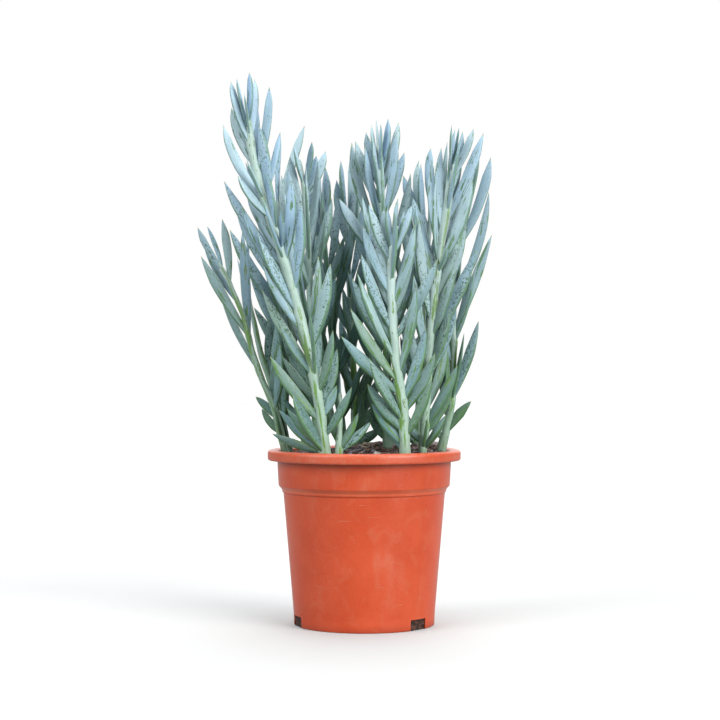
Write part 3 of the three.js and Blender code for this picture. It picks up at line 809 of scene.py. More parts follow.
# %% [markdown]
# Before any leaf is drawn finely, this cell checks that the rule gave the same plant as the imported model: the
# tip of each leaf is looked up among the corners of its packed stem.

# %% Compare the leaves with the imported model
far_off = []
for stem in stems:
    corners = np.array([v.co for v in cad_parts[stem.name].data.vertices]) / MM
    tips = np.array([leaf.tip for leaf in crowd.leaves if leaf.stem is stem])
    far_off.append(distances(tips, corners).min(axis=1).max())
print("farthest leaf tip from the packed one:", round(float(max(far_off)), 3), "mm")

# %% [markdown]
# Leaves, stems, the pot and the mix are all skins stretched over rings of points. This helper joins the rings
# into one mesh and keeps, for every point, the values that the materials will read: where the point is on its
# own leaf, how old that part is, which also sets painted light from above, how much painted shade it gets deep
# in the clump, and a draw that makes each leaf a little different.

# %% Make a helper that stretches skins over rings
class Skin:
    """Collects rings of points into one mesh"""

    def __init__(self):
        self.points = []
        self.faces = []
        self.slots = []
        self.values = {}
        self.count = 0

    def add(self, points, faces, slot, **values):
        points = np.asarray(points, float).reshape(-1, 3)
        self.points.append(points)
        self.faces.extend(tuple(int(i) + self.count for i in face) for face in faces)
        self.slots.extend([slot] * len(faces))
        for name, value in values.items():
            self.values.setdefault(name, []).append(np.asarray(value, float))
        self.count += len(points)

    def loft(self, rings, slot=0, tip=None, foot=None, **values):
        """A tube through rings of points, closed at each end by a flat face, or by a fan to a point"""
        rows, around = rings.shape[:2]
        lower = np.arange(around)
        upper = (lower + 1) % around
        points = rings.reshape(-1, 3)
        faces = []
        for row in range(rows - 1):
            a = row * around
            b = a + around
            faces.extend(zip(a + lower, a + upper, b + upper, b + lower))
        last = (rows - 1) * around
        if foot is None:
            faces.append(tuple(lower[::-1]))
        if tip is None:
            faces.append(tuple(last + lower))
        else:
            faces.extend((last + i, last + j, len(points)) for i, j in zip(lower, upper))
            points = np.vstack([points, tip])
        if foot is not None:
            faces.extend((j, i, len(points)) for i, j in zip(lower, upper))
            points = np.vstack([points, foot])
        self.add(points, faces, slot, **values)

    def build(self, name, materials, replaced=(), smooth_below=60):
        """The finished piece, in metres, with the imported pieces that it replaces"""
        mesh = bpy.data.meshes.new(name)
        points = np.concatenate(self.points) * MM
        mesh.from_pydata(points.tolist(), [], self.faces)
        for material in materials:
            mesh.materials.append(material)
        mesh.polygons.foreach_set("material_index", self.slots)
        for label, parts in self.values.items():
            value = np.concatenate(parts).astype(np.float32)
            kind, field = ("FLOAT", "value") if value.ndim == 1 else ("FLOAT_VECTOR", "vector")
            layer = mesh.attributes.new(label, kind, "POINT")
            layer.data.foreach_set(field, value.ravel())
        mesh.polygons.foreach_set("use_smooth", [True] * len(mesh.polygons))
        mesh.set_sharp_from_angle(angle=math.radians(smooth_below))
        mesh.update()
        piece = bpy.data.objects.new(name, mesh)
        bpy.context.scene.collection.objects.link(piece)
        if replaced:
            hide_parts(*replaced)
        return piece


def triangles(mesh):
    return sum(len(face.vertices) - 2 for face in mesh.polygons)


print("skin helper ready")

# %% [markdown]
# The bluish white of this plant is a coat of wax on a green skin. It rubs off where leaves touch or fingers
# hold them, and the green shows there as streaks along the leaf and as crowds of small flecks. Leaves and
# stems both have it, so it is a group: it says how much wax is left, where the streaks and the flecks are,
# where the wax is thick or thin, and how the grain of the skin runs.

# %% Mix the waxy bloom
bloom, r, ins, outs = make_group(
    "waxy_bloom",
    [
        ("Skin", VECTOR, None), ("Cover", FLOAT, 1.0), ("Rubbed", FLOAT, 0.8), ("Crowd", FLOAT, 0.5),
    ],
    [("Bloom", FLOAT), ("Rub", FLOAT), ("Fleck", FLOAT), ("Grain", FLOAT), ("Cloud", FLOAT)],
)
skin = ins["Skin"]
ragged = r.noise(skin, 1.5, 3.0, 0.7)
streak_shape = r.noise(r.stretch(skin, (1, 1, 0.12)), 0.62, 3.0, 0.6)
streak_shape = r.math("ADD", streak_shape, r.math("MULTIPLY", ragged, 0.14))
streak_shape = r.math("ADD", streak_shape, r.math("MULTIPLY", ins["Rubbed"], 0.12))
rub = r.between(streak_shape, 0.745, 0.775)
cloud = r.noise(r.stretch(skin, (1, 1, 0.25)), 0.14, 3.0, 0.55)
field = r.between(cloud, 0.30, 0.62)
gathered = r.math("MULTIPLY", r.math("MULTIPLY", ins["Crowd"], 0.15), field)
nick_shape = r.noise(r.stretch(skin, (1, 1, 0.55)), 0.95, 2.0, 0.65)
nicks = r.between(r.math("ADD", nick_shape, gathered), 0.665, 0.70)
dot_size = r.math("MULTIPLY", r.between(ragged, 0.35, 0.7, 0.05, 0.45), r.between(gathered, 0.0, 0.12))
dot_place = r.spots(r.stretch(skin, (1, 1, 0.6)), 0.8)
dots = r.between(r.math("SUBTRACT", dot_place, dot_size), -0.03, 0.03, 1.0, 0.0)
fleck = r.math("MULTIPLY", r.math("MAXIMUM", dots, nicks), r.between(ragged, 0.3, 0.6, 0.55, 1.0))
gone = r.math("MAXIMUM", rub, fleck)
r.feed(outs, {
    "Bloom": r.math("MULTIPLY", ins["Cover"], r.math("SUBTRACT", 1.0, gone)),
    "Rub": rub,
    "Fleck": fleck,
    "Grain": r.noise(r.stretch(skin, (1, 1, 0.3)), 2.2, 3.0, 0.6),
    "Cloud": cloud,
})
print("group", bloom.name, "has", len(bloom.nodes), "nodes")

# %% [markdown]
# A leaf is deep green under its wax. Low, old leaves have lost more of it and look greener, and the young
# ones at the top are almost white; the top is also made paler as painted light from above. Leaves of one plant
# differ, so each has a draw of its own, from which it gets how pale, how green and how worn it is. The wax is
# thin in some places and thick in others. Each colour is given twice, as it is low on the plant and as it is at
# the top, where it is paler partly as painted light from above.

# %% Mix the wax of a leaf
LEAF = {
    "wax, blue": (srgb(97, 153, 168), srgb(184, 228, 268)),
    "wax, green": (srgb(101, 149, 87), srgb(214, 246, 252)),
    "wax of a dull leaf": (srgb(72, 116, 92), srgb(132, 166, 176)),
    "wax of a pale leaf": (srgb(184, 226, 238), srgb(216, 244, 262)),
    "thin wax": (srgb(68, 120, 104), srgb(140, 180, 194)),
    "thick wax": (srgb(186, 224, 226), srgb(218, 242, 252)),
    "skin": (srgb(64, 106, 66), srgb(100, 142, 128)),
    "fleck": (srgb(50, 94, 62), srgb(98, 138, 134)),
    "streak": (srgb(104, 158, 58), srgb(130, 172, 136)),
    "band": (srgb(106, 166, 62), srgb(136, 182, 160)),
    "painted shade beyond the band": (srgb(78, 122, 86), srgb(140, 176, 180)),
    "painted highlight on the keen edge": (srgb(190, 220, 182), srgb(220, 240, 238)),
}
WAX_GRAIN = srgb(228, 242, 244)

leaf_skin, r, shader = make_material("leaf_skin")
tone = r.attribute("tone")
youth = r.attribute("youth")
hue = r.math("FRACT", r.math("MULTIPLY", tone, 7.31))
worn = r.math("FRACT", r.math("MULTIPLY", tone, 19.7))
waxed = r.group(bloom, {
    "Skin": r.attribute("skin", "Vector"),
    "Cover": r.between(youth, -0.15, 0.6, 0.85, 0.98),
    "Rubbed": r.math("MULTIPLY", r.between(worn, 0.1, 0.9), r.between(youth, 0.4, 0.9, 1.0, 0.6)),
    "Crowd": r.math("MULTIPLY", r.between(worn, 0.85, 0.1), r.between(youth, 0.3, 0.9, 1.0, 0.45)),
})
cloud = waxed["Cloud"]
low_wax, top_wax = (r.mix(hue, *pair) for pair in zip(LEAF["wax, blue"], LEAF["wax, green"]))
# The wax is paler up the plant: partly the young leaves' own wax, partly painted light from above
wax = r.mix(r.between(youth, 0.0, 0.85), low_wax, top_wax)
wax = r.mix(r.between(tone, 0.0, 0.35, 0.45, 0.0), wax, r.mix(youth, *LEAF["wax of a dull leaf"]))
wax = r.mix(r.between(tone, 0.6, 1.0, 0.0, 0.5), wax, r.mix(youth, *LEAF["wax of a pale leaf"]))
wax = r.mix(r.between(cloud, 0.25, 0.6, 0.45, 0.0), wax, r.mix(youth, *LEAF["thin wax"]))
wax = r.mix(r.between(cloud, 0.5, 0.8, 0.0, 0.45), wax, r.mix(youth, *LEAF["thick wax"]))
wax = r.mix(r.math("MULTIPLY", r.between(waxed["Grain"], 0.3, 0.7), 0.18), wax, WAX_GRAIN)
colour = r.mix(waxed["Bloom"], r.mix(youth, *LEAF["skin"]), wax)
colour = r.mix(r.math("MULTIPLY", waxed["Fleck"], 0.64), colour, r.mix(youth, *LEAF["fleck"]))
streaks = r.math("MULTIPLY", waxed["Rub"], r.between(youth, 0.3, 0.9, 0.85, 0.5))
colour = r.mix(streaks, colour, r.mix(youth, *LEAF["streak"]))
print("colours of a leaf:", ", ".join(LEAF))

# %% [markdown]
# The blunt back of a leaf has little wax. A frayed yellow-green band runs along it, which comes and goes with
# the thickness of the wax, and beyond the band, where the back turns away from the lamps, a darker colour is
# painted as shade. A thin pale line is painted along the keen edge as a highlight, and the tip ends in a small
# pale point. Points deep in the clump get a painted shade that darkens and greens them.

# %% Paint the back, the edge and the tip of a leaf
# Painted shade: the colour of points deep in the clump is multiplied by this darker green
PAINTED_SHADE_TINT = (0.30, 0.48, 0.37, 1)
LEAF_TIP = srgb(166, 190, 124)
LEAF_FOOT = srgb(178, 212, 176)

along = r.attribute("along")
across = r.attribute("across")
frayed = r.math("MULTIPLY", r.math("SUBTRACT", waxed["Grain"], 0.5), 0.55)
back = r.math("ADD", r.math("MULTIPLY", across, -1.0), frayed)
back = r.math("ADD", back, r.math("MULTIPLY", r.math("SUBTRACT", cloud, 0.5), 1.6))
band_from = r.between(youth, 0.1, 0.8, 0.66, 0.88)
band_from = r.math("SUBTRACT", band_from, r.math("MULTIPLY", worn, 0.10))
past_band = r.math("SUBTRACT", back, band_from)
colour = r.mix(r.between(past_band, 0.0, 0.07, 0.0, 0.85), colour, r.mix(youth, *LEAF["band"]))
# Painted shade beyond the band, where the back of the leaf turns away from the lamps
colour = r.mix(r.between(past_band, 0.14, 0.24, 0.0, 0.8), colour, r.mix(youth, *LEAF["painted shade beyond the band"]))
# Painted highlight: a thin pale line along the keen edge
colour = r.mix(r.between(across, 0.92, 0.97, 0.0, 0.85), colour, r.mix(youth, *LEAF["painted highlight on the keen edge"]))
colour = r.mix(r.between(along, 0.95, 0.99, 0.0, 0.9), colour, LEAF_TIP)
colour = r.mix(r.between(along, 0.0, 0.12, 0.6, 0.0), colour, LEAF_FOOT)
relief = r.math("ADD", r.math("MULTIPLY", waxed["Grain"], 0.4), r.math("MULTIPLY", waxed["Bloom"], 0.5))
# The base colour gets the painted shade where a point lies deep in the clump
r.feed(shader, {
    "Base Color": r.mix(r.attribute("deep"), colour, r.mix(1.0, colour, PAINTED_SHADE_TINT, "MULTIPLY")),
    "Roughness": r.between(waxed["Bloom"], 0.0, 1.0, 0.36, 0.55),
    "Sheen Weight": 0.12,
    "Sheen Roughness": 0.4,
    "Specular IOR Level": 0.35,
    "Normal": r.bump(relief, 0.4, 0.3 * MM),
})
print("material", leaf_skin.name, "has", len(leaf_skin.node_tree.nodes), "nodes")

# %% [markdown]
# A stem has the same wax over a brighter green, and it is rubbed off in long ragged streaks, because the leaf
# bases run down the stem as low ridges. The streaks are commonest about a quarter of the way up. Near the mix
# the stem is a little brown. Higher up its wax is paler, partly as painted light from above, and deep in the
# clump it gets the same painted shade as the leaves.

# %% Mix the skin of a stem
STEM = {
    "wax, low": srgb(174, 210, 188),
    "wax, high": srgb(212, 240, 240),
    "thin wax": srgb(140, 184, 144),
    "wax grain": srgb(222, 242, 226),
    "skin": srgb(118, 158, 82),
    "fleck": srgb(90, 130, 66),
    "streak, low": srgb(118, 170, 62),
    "streak, high": srgb(160, 196, 158),
    "brown foot": srgb(124, 130, 88),
}

stem_skin, r, shader = make_material("stem_skin")
youth = r.attribute("youth")
brushed_above = r.between(youth, 0.02, 0.2, 0.6, 1.3)
brushed_below = r.between(youth, 0.3, 0.5, 1.3, 0.5)
waxed = r.group(bloom, {
    "Skin": r.stretch(r.attribute("skin", "Vector"), (0.65, 0.65, 0.35)),
    "Cover": 0.95,
    "Rubbed": r.math("MINIMUM", brushed_above, brushed_below),
    "Crowd": 0.2,
})
cloud = waxed["Cloud"]
# The wax is paler up the stem, partly as painted light from above
wax = r.mix(r.between(youth, 0.0, 0.5), STEM["wax, low"], STEM["wax, high"])
wax = r.mix(r.between(cloud, 0.3, 0.65, 0.35, 0.0), wax, STEM["thin wax"])
wax = r.mix(r.between(waxed["Grain"], 0.35, 0.7, 0.0, 0.25), wax, STEM["wax grain"])
colour = r.mix(waxed["Bloom"], STEM["skin"], wax)
colour = r.mix(waxed["Fleck"], colour, STEM["fleck"])
streak = r.mix(youth, STEM["streak, low"], STEM["streak, high"])
colour = r.mix(r.math("MULTIPLY", waxed["Rub"], 0.9), colour, streak)
low = r.between(r.math("ADD", youth, r.math("MULTIPLY", cloud, 0.05)), 0.035, 0.09, 0.30, 0.0)
colour = r.mix(low, colour, STEM["brown foot"])
# The stem gets the same painted shade deep in the clump
r.feed(shader, {
    "Base Color": r.mix(r.attribute("deep"), colour, r.mix(1.0, colour, PAINTED_SHADE_TINT, "MULTIPLY")),
    "Roughness": r.between(waxed["Bloom"], 0.0, 1.0, 0.35, 0.52),
    "Sheen Weight": 0.1,
    "Specular IOR Level": 0.35,
    "Normal": r.bump(r.math("ADD", waxed["Grain"], waxed["Bloom"]), 0.35, 0.3 * MM),
})
print("material", stem_skin.name, "has", len(stem_skin.node_tree.nodes), "nodes")

# %% [markdown]
# Each packed leaf has three sides and four rows. The finer one follows the same middle line and keeps its
# greatest width, but its section is a rounded wedge: keen at the edge that faces the stem and blunt at the
# back. The rows stand closer near the tip, where the outline turns fastest.

# %% Give the section and the rows of a fine leaf
LEAF_AROUND = 16
LEAF_ROWS = 22
TIP_CROWDING = 1.5
WEDGE = {"keen": 0.70, "blunt": 0.34, "fullest": 0.92}

ring_angle = 2 * np.pi * np.arange(LEAF_AROUND) / LEAF_AROUND
ring_across = np.cos(ring_angle)
ring_full = np.clip(1 - ring_across, 0, 2) ** WEDGE["keen"] * np.clip(1 + ring_across, 0, 2) ** WEDGE["blunt"]
ring_out = np.sign(np.sin(ring_angle)) * ring_full / ring_full.max() * WEDGE["fullest"]
row_share = 1 - (1 - np.arange(LEAF_ROWS) / LEAF_ROWS) ** TIP_CROWDING
print("a fine leaf has", LEAF_ROWS, "rows of", LEAF_AROUND, "points")

# %% [markdown]
# The colour of a leaf depends on where it stands, so each point keeps two values for its material. Its height
# stands for how young that part is, and also makes the top paler as painted light from above. How deep it lies
# in the clump, which no texture could tell, sets a painted shade that darkens and greens it. The painted shade
# is an egg that stands a little behind and to the left of the pot's middle, where the stems crowd.

# %% Measure height and painted shade
SOIL_TO_TIP = (112.5, 362.0)
PAINTED_SHADE_EGG = {"x": -8, "y": 14, "z": 155, "size": (80, 43, 135), "core": 0.45}


def youth_of(heights):
    """How young a point is, and how much painted light from above it gets, from 0 at the mix to 1 at the
    highest tip
    """
    low, high = SOIL_TO_TIP
    return np.clip((heights - low) / (high - low), 0, 1)


def painted_shade_depth(points):
    """How much painted shade a point gets for standing deep in the clump, from 0 at its outside to 1 at its
    heart
    """
    heart = np.array([PAINTED_SHADE_EGG[axis] for axis in "xyz"])
    out = np.linalg.norm((points.reshape(-1, 3) - heart) / PAINTED_SHADE_EGG["size"], axis=1)
    return np.clip((1 - out) / (1 - PAINTED_SHADE_EGG["core"]), 0, 1)


print("half way up, a stem's youth is", round(float(youth_of(sum(SOIL_TO_TIP) / 2)), 2))

# %% [markdown]
# No two leaves have the same outline. A slow wave makes the breadth and the thickness of each uneven. Old
# leaves draw in to their tip over a long way, like a lance, and young ones stay broad until just below it.

# %% Shape a fine leaf
EDGE_WAVE = {"share": 0.035, "breadth": 9, "thickness": 7}
TIP_PINCH = {"old": 0.58, "young": 0.93, "share": 0.42}
PATTERN_SPREAD = 400


def smooth_read(table, places):
    """A table of rows read along a smooth curve, where a plain reading has a kink at each row"""
    at, value = table.T
    slope = np.gradient(value, at)
    i = np.clip(np.searchsorted(at, places, side="right") - 1, 0, len(at) - 2)
    step = at[i + 1] - at[i]
    t = (places - at[i]) / step
    start = (2 * t**3 - 3 * t**2 + 1) * value[i] + (t**3 - 2 * t**2 + t) * step * slope[i]
    return start + (3 * t**2 - 2 * t**3) * value[i + 1] + (t**3 - t**2) * step * slope[i + 1]


def fine_leaf(body, leaf, number):
    """Adds one finely shaped leaf to a stem's mesh"""
    random = np.random.default_rng([leaf.stem.seed, number])
    point, wide, thick = leaf.frames(row_share)
    start = np.interp(youth_of(leaf.foot[2]), [0, 1], [TIP_PINCH["old"], TIP_PINCH["young"]])
    pinch = np.clip((row_share - start) / (1 - start), 0, 1) * TIP_PINCH["share"]
    half = 0.5 * leaf.width
    phase = random.uniform(0, 2 * np.pi, 2)
    uneven = np.sin(EDGE_WAVE["breadth"] * row_share + phase[0]) * np.sin(np.pi * row_share)
    wave = 1 + EDGE_WAVE["share"] * uneven
    reach = half * smooth_read(LEAF_WIDTH, row_share) * (1 - pinch) * wave
    swell = 1 + EDGE_WAVE["share"] * 2 * np.sin(EDGE_WAVE["thickness"] * row_share + phase[1])
    deep = half * LEAF_THICKNESS * smooth_read(LEAF_DEPTH, row_share) * (1 - pinch) * swell
    across = reach[:, None] * ring_across
    out = deep[:, None] * ring_out
    rings = point[:, None] + wide[:, None] * across[..., None] + thick[:, None] * out[..., None]
    along = np.repeat(row_share, LEAF_AROUND)
    local = np.stack([across.ravel(), out.ravel(), along * leaf.length], axis=1)
    local = np.vstack([local, (0, 0, leaf.length)]) + random.uniform(0, PATTERN_SPREAD, 3)
    body.loft(
        rings, slot=0, tip=leaf.tip,
        skin=local,
        along=np.append(along, 1.0),
        across=np.append(np.tile(ring_across, LEAF_ROWS), 0.0),
        tone=np.full(len(local), random.random()),
        youth=youth_of(np.append(rings[..., 2].ravel(), leaf.tip[2])),
        # deep: how much painted shade the point gets
        deep=painted_shade_depth(np.vstack([rings.reshape(-1, 3), leaf.tip])),
    )


print("a fine leaf has", 2 * LEAF_AROUND * LEAF_ROWS, "triangles")

# %% [markdown]
# A stem swells a little below each leaf, where the base of the leaf runs down it, and keeps a low scar where
# an old leaf has dropped. Both are raised from a round rod by a formula that looks at how far a point of the
# bark is from each leaf, along the stem and round it.

# %% Shape the fine stems
STEM_AROUND = 18
STEM_RING_STEP = 1.6
ROOT_DEPTH = 24
ROOT_DRAW_IN = 0.84
STEM_END = {"length": 4, "radius": 0.6}
CUSHION = {"height": 0.42, "below": 7.0, "above": 2.2, "round": 0.75}
SCAR = {"height": 0.22, "reach": 1.1, "round": 0.7, "every": 5.5, "up_to": 0.6}
BARK_WAVE = {"share": 0.09, "along": 0.21, "twist": 0.06}
BARK_DRAWS = 7

stem_angle = 2 * np.pi * np.arange(STEM_AROUND) / STEM_AROUND


def stem_frame(along):
    """The ways to the side and to the back of a stem that runs along a direction"""
    back = unit(np.cross(along, (1, 0, 0)))
    return np.cross(back, along), back


def angle_on(stem, leaf):
    """The angle round the stem at which a leaf leaves it"""
    side, back = stem_frame(stem.place(leaf.distance)[1])
    way = leaf.tip - leaf.foot
    return math.atan2(way @ back, way @ side)


def raised(distance, angle, centre, turn, height, below, above, width):
    """A low bump on the bark round one place, longer below it than above"""
    apart = distance - centre
    run = np.where(apart < 0, apart / below, apart / above)
    swing = np.angle(np.exp(1j * (angle - turn)))
    return height * np.exp(-(run**2) * 2) * np.exp(-((swing / width) ** 2))


def fine_stem(body, stem, leaves):
    """Adds the stem, with a cushion under each leaf and scars between them"""
    random = np.random.default_rng([stem.seed, BARK_DRAWS])
    walked = np.arange(0, stem.length + STEM_RING_STEP / 2, STEM_RING_STEP)
    foot = stem.line[0]
    buried = foot * (ROOT_DRAW_IN, ROOT_DRAW_IN, 1) - (0, 0, ROOT_DEPTH)
    places = [(buried, unit(foot - buried), stem.thick[0] / 2, -ROOT_DEPTH)]
    places += [(*stem.place(s), stem.radius(s), s) for s in walked]
    end, along = stem.place(stem.length)
    tip = end + along * STEM_END["length"]
    places.append((tip, along, STEM_END["radius"], stem.length + STEM_END["length"]))
    distance = np.array([place[3] for place in places])[:, None]
    radius = np.array([place[2] for place in places])[:, None] + np.zeros(STEM_AROUND)
    for leaf in leaves:
        radius += raised(
            distance, stem_angle, leaf.distance + 1, angle_on(stem, leaf),
            CUSHION["height"], CUSHION["below"], CUSHION["above"], CUSHION["round"],
        )
    for s in np.arange(stem.first, stem.length * SCAR["up_to"], SCAR["every"]):
        radius += raised(
            distance, stem_angle, s, random.uniform(-np.pi, np.pi),
            SCAR["height"], SCAR["reach"], SCAR["reach"], SCAR["round"],
        )
    flats = np.cos(stem_angle * 2 + distance * BARK_WAVE["twist"])
    radius *= 1 + BARK_WAVE["share"] * np.sin(distance * BARK_WAVE["along"] + stem.seed) * flats
    frames = [stem_frame(place[1]) for place in places]
    rings = np.array([
        place[0] + np.outer(np.cos(stem_angle) * reach, side) + np.outer(np.sin(stem_angle) * reach, back)
        for place, (side, back), reach in zip(places, frames, radius)
    ])
    skin = np.stack([
        np.cos(stem_angle) * radius, np.sin(stem_angle) * radius, distance + np.zeros_like(radius),
    ], axis=-1).reshape(-1, 3)
    count = len(skin)
    body.loft(
        rings, slot=1,
        skin=skin + random.uniform(0, PATTERN_SPREAD, 3),
        along=np.full(count, 0.5),
        across=np.zeros(count),
        tone=np.full(count, random.random()),
        youth=youth_of(rings[..., 2].ravel()),
        # deep: how much painted shade the point gets
        deep=painted_shade_depth(rings),
    )


print("a fine stem has a ring every", STEM_RING_STEP, "mm")

# %% [markdown]
# Now every leafy stem is built as one piece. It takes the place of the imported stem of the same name, which
# stays in the model for its weight and for what it can touch.

# %% Grow the fine stems and leaves
for stem in stems:
    own = [leaf for leaf in crowd.leaves if leaf.stem is stem]
    body = Skin()
    fine_stem(body, stem, own)
    for number, leaf in enumerate(own):
        fine_leaf(body, leaf, number)
    piece = body.build("leafy_" + stem.name, [leaf_skin, stem_skin], [stem.name])
    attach(piece, ROOT)
    print(piece.name, "leaves", len(own), "triangles", triangles(piece.data))

# %% [markdown]
# The pot is moulded from thin plastic. Its outline is turned about the middle: a foot ring and a raised
# floor, a tapered wall, a low bead, a step out to the collar and a lip that is folded down. A lathe could be
# left sharp, but moulded plastic has small radii everywhere, and they catch the light, so each corner is an
# arc. Each row below is a corner: how far out it is, how high, and how far from it its arc starts.

# %% Turn the pot
POT_AROUND = 192
POT_UNDERSIDE = [(0, 0, 0), (14, 0, 1), (15, 3, 1), (44, 3, 1), (45, 0, 0.6)]
POT_OUTSIDE = [
    (47.2, 0, 0.7), (47.5, 8, 2), (54.3, 87.5, 1), (54.35, 88.6, 0.25), (55.1, 89.1, 0.35), (55.4, 91.0, 0.9),
    (57.6, 93.4, 0.7),
]
POT_RIM = [
    (58.8, 115.4, 0.6), (63.4, 115.4, 0.7), (63.5, 110.6, 0.35), (64.3, 110.4, 0.35), (64.9, 111.2, 0.8),
    (65, 115.7, 1.2), (64.1, 117, 1.0), (62.2, 117.5, 1.5), (59.2, 117.1, 1.2), (57.7, 116.1, 0.6),
]
POT_INSIDE = [(56.2, 94.2, 1), (53.6, 91.4, 1), (52.9, 88.4, 1), (46.1, 8, 1), (45.4, 4.6, 1)]
FLOOR_TOP = 4.6
ARC_STEPS = 4
ARC_SHARE = 0.45
LONGEST_STEP = 5.0
WARP = {"depth": 0.14, "size": 0.03, "upright": 0.5}


def rounded(corners):
    """An outline in which every corner is an arc that starts a short way before it"""
    outline = [np.array(corners[0][:2], float)]
    for before, (x, z, reach), after in zip(corners, corners[1:-1], corners[2:]):
        corner = np.array((x, z), float)
        arms = [np.array(other[:2], float) - corner for other in (before, after)]
        start, stop = (corner + arm * min(reach / np.linalg.norm(arm), ARC_SHARE) for arm in arms)
        for t in np.linspace(0, 1, ARC_STEPS + 1):
            outline.append(start * (1 - t) ** 2 + corner * 2 * t * (1 - t) + stop * t * t)
    outline.append(np.array(corners[-1][:2], float))
    return outline


def divided(outline, longest):
    """The same outline with long straight stretches cut into steps"""
    points = [outline[0]]
    for start, stop in zip(outline, outline[1:]):
        steps = max(1, math.ceil(np.linalg.norm(stop - start) / longest))
        points.extend(start + (stop - start) * k / steps for k in range(1, steps + 1))
    return points


def lathe(body, outline, around):
    """Turns an outline that starts and ends on the middle line into a closed skin"""
    angle = 2 * np.pi * np.arange(around) / around
    inner = np.array(outline[1:-1])
    rings = np.stack([
        inner[:, :1] * np.cos(angle), inner[:, :1] * np.sin(angle), inner[:, 1:] + 0 * angle,
    ], axis=-1)
    body.loft(rings, tip=(0, 0, outline[-1][1]), foot=(0, 0, outline[0][1]))


pot_outline = rounded([*POT_UNDERSIDE, *POT_OUTSIDE, *POT_RIM, *POT_INSIDE, (0, FLOOR_TOP, 0)])
pot_body = Skin()
lathe(pot_body, divided(pot_outline, LONGEST_STEP), POT_AROUND)
points = pot_body.points[0]
reach = np.hypot(points[:, 0], points[:, 1])
for i, (x, y, z) in enumerate(points):
    if reach[i] > 1:
        push = WARP["depth"] * rough_noise.noise(Vector((x, y, z * WARP["upright"])) * WARP["size"])
        points[i, :2] *= 1 - push / reach[i]
print("outline points:", len(pot_outline))

# %% [markdown]
# Terracotta coloured plastic is even in colour, but a pot that has stood in a nursery isn't. This cell finds
# where the marks are: pale upright smears where water dried, cloudy patches, a few fine scratches, dark
# specks and a scuffed lip. It also finds the step under the collar, which faces down, and paints light on it
# so that it is not as dark as the lamps leave it.

# %% Find the marks on the pot
RIM_FROM = 109.5
RIM_EDGE = 1.0
PAINTED_STEP_LIGHT = {"from": 89.5, "to": 93.5, "edge": 0.8}

plastic, r, shader = make_material("terracotta_plastic")
place = r.place()
height = r.height()
cloud = r.noise(place, 34.0, 4.0, 0.6)
grain = r.noise(place, 1500.0, 3.0, 0.6)
smear_shape = r.noise(r.stretch(place, (1, 1, 0.16)), 110.0, 4.0, 0.62)
chalk = r.math("MULTIPLY", r.between(smear_shape, 0.50, 0.78), r.between(r.noise(place, 22.0), 0.45, 0.68))
blotch = r.between(r.noise(place, 90.0, 4.0, 0.6, 0.5), 0.53, 0.62)
level = r.node("ShaderNodeMapping", {"Vector": place, "Rotation": (0.06, 0.1, 0.0), "Scale": (0.05, 0.05, 1)})
scratch = r.between(r.noise(level.outputs[0], 900.0, 1.0), 0.72, 0.77)
scratch = r.math("MULTIPLY", scratch, r.between(r.noise(place, 24.0, 1.0), 0.54, 0.64))
specks = r.between(r.spots(place, 260.0), 0.04, 0.10, 1.0, 0.0)
specks = r.math("MULTIPLY", specks, r.between(r.noise(place, 60.0, 1.0), 0.60, 0.66))
lip = r.between(height, RIM_FROM * MM, (RIM_FROM + RIM_EDGE) * MM)
scuff_shape = r.math("ADD", r.noise(place, 420.0, 4.0, 0.7), r.math("MULTIPLY", cloud, 0.5))
scuffed = r.math("MULTIPLY", lip, r.between(r.between(scuff_shape, 0.60, 0.95), 0.0, 1.0, 0.10, 0.50))
# Painted light on the down-facing step under the collar, mottled by the cloud
low, high, edge = (PAINTED_STEP_LIGHT[key] * MM for key in ("from", "to", "edge"))
above_wall = r.between(height, low, low + edge)
below_collar = r.between(height, high - edge, high, 1.0, 0.0)
step = r.math("MINIMUM", above_wall, below_collar)
step = r.math("MULTIPLY", step, r.between(cloud, 0.3, 0.7, 0.35, 0.7))
print("the lip starts", RIM_FROM, "mm above the ground")

# %% [markdown]
# Each mark is laid over the plain colour of the plastic in its own share. The marks also change the shine:
# chalk and scuffs are duller. The surface has a fine grain from its mould, which breaks the shine up.

# %% Colour the terracotta plastic
POT = {
    "plastic": srgb(228, 80, 36),
    "plastic, paler": srgb(240, 92, 48),
    "blotch": srgb(240, 134, 96),
    "chalk": srgb(236, 158, 128),
    "grain": srgb(246, 150, 112),
    "scuffed lip": srgb(228, 134, 106),
    "painted light on the step": srgb(268, 136, 94),
    "scratch": srgb(240, 176, 148),
    "speck": srgb(120, 52, 36),
    "damp foot": srgb(150, 62, 42),
}

colour = r.mix(r.between(cloud, 0.3, 0.7), POT["plastic"], POT["plastic, paler"])
colour = r.mix(r.math("MULTIPLY", blotch, 0.16), colour, POT["blotch"])
colour = r.mix(r.math("MULTIPLY", chalk, 0.26), colour, POT["chalk"])
colour = r.mix(r.between(grain, 0.35, 0.7, 0.0, 0.14), colour, POT["grain"])
colour = r.mix(scuffed, colour, POT["scuffed lip"])
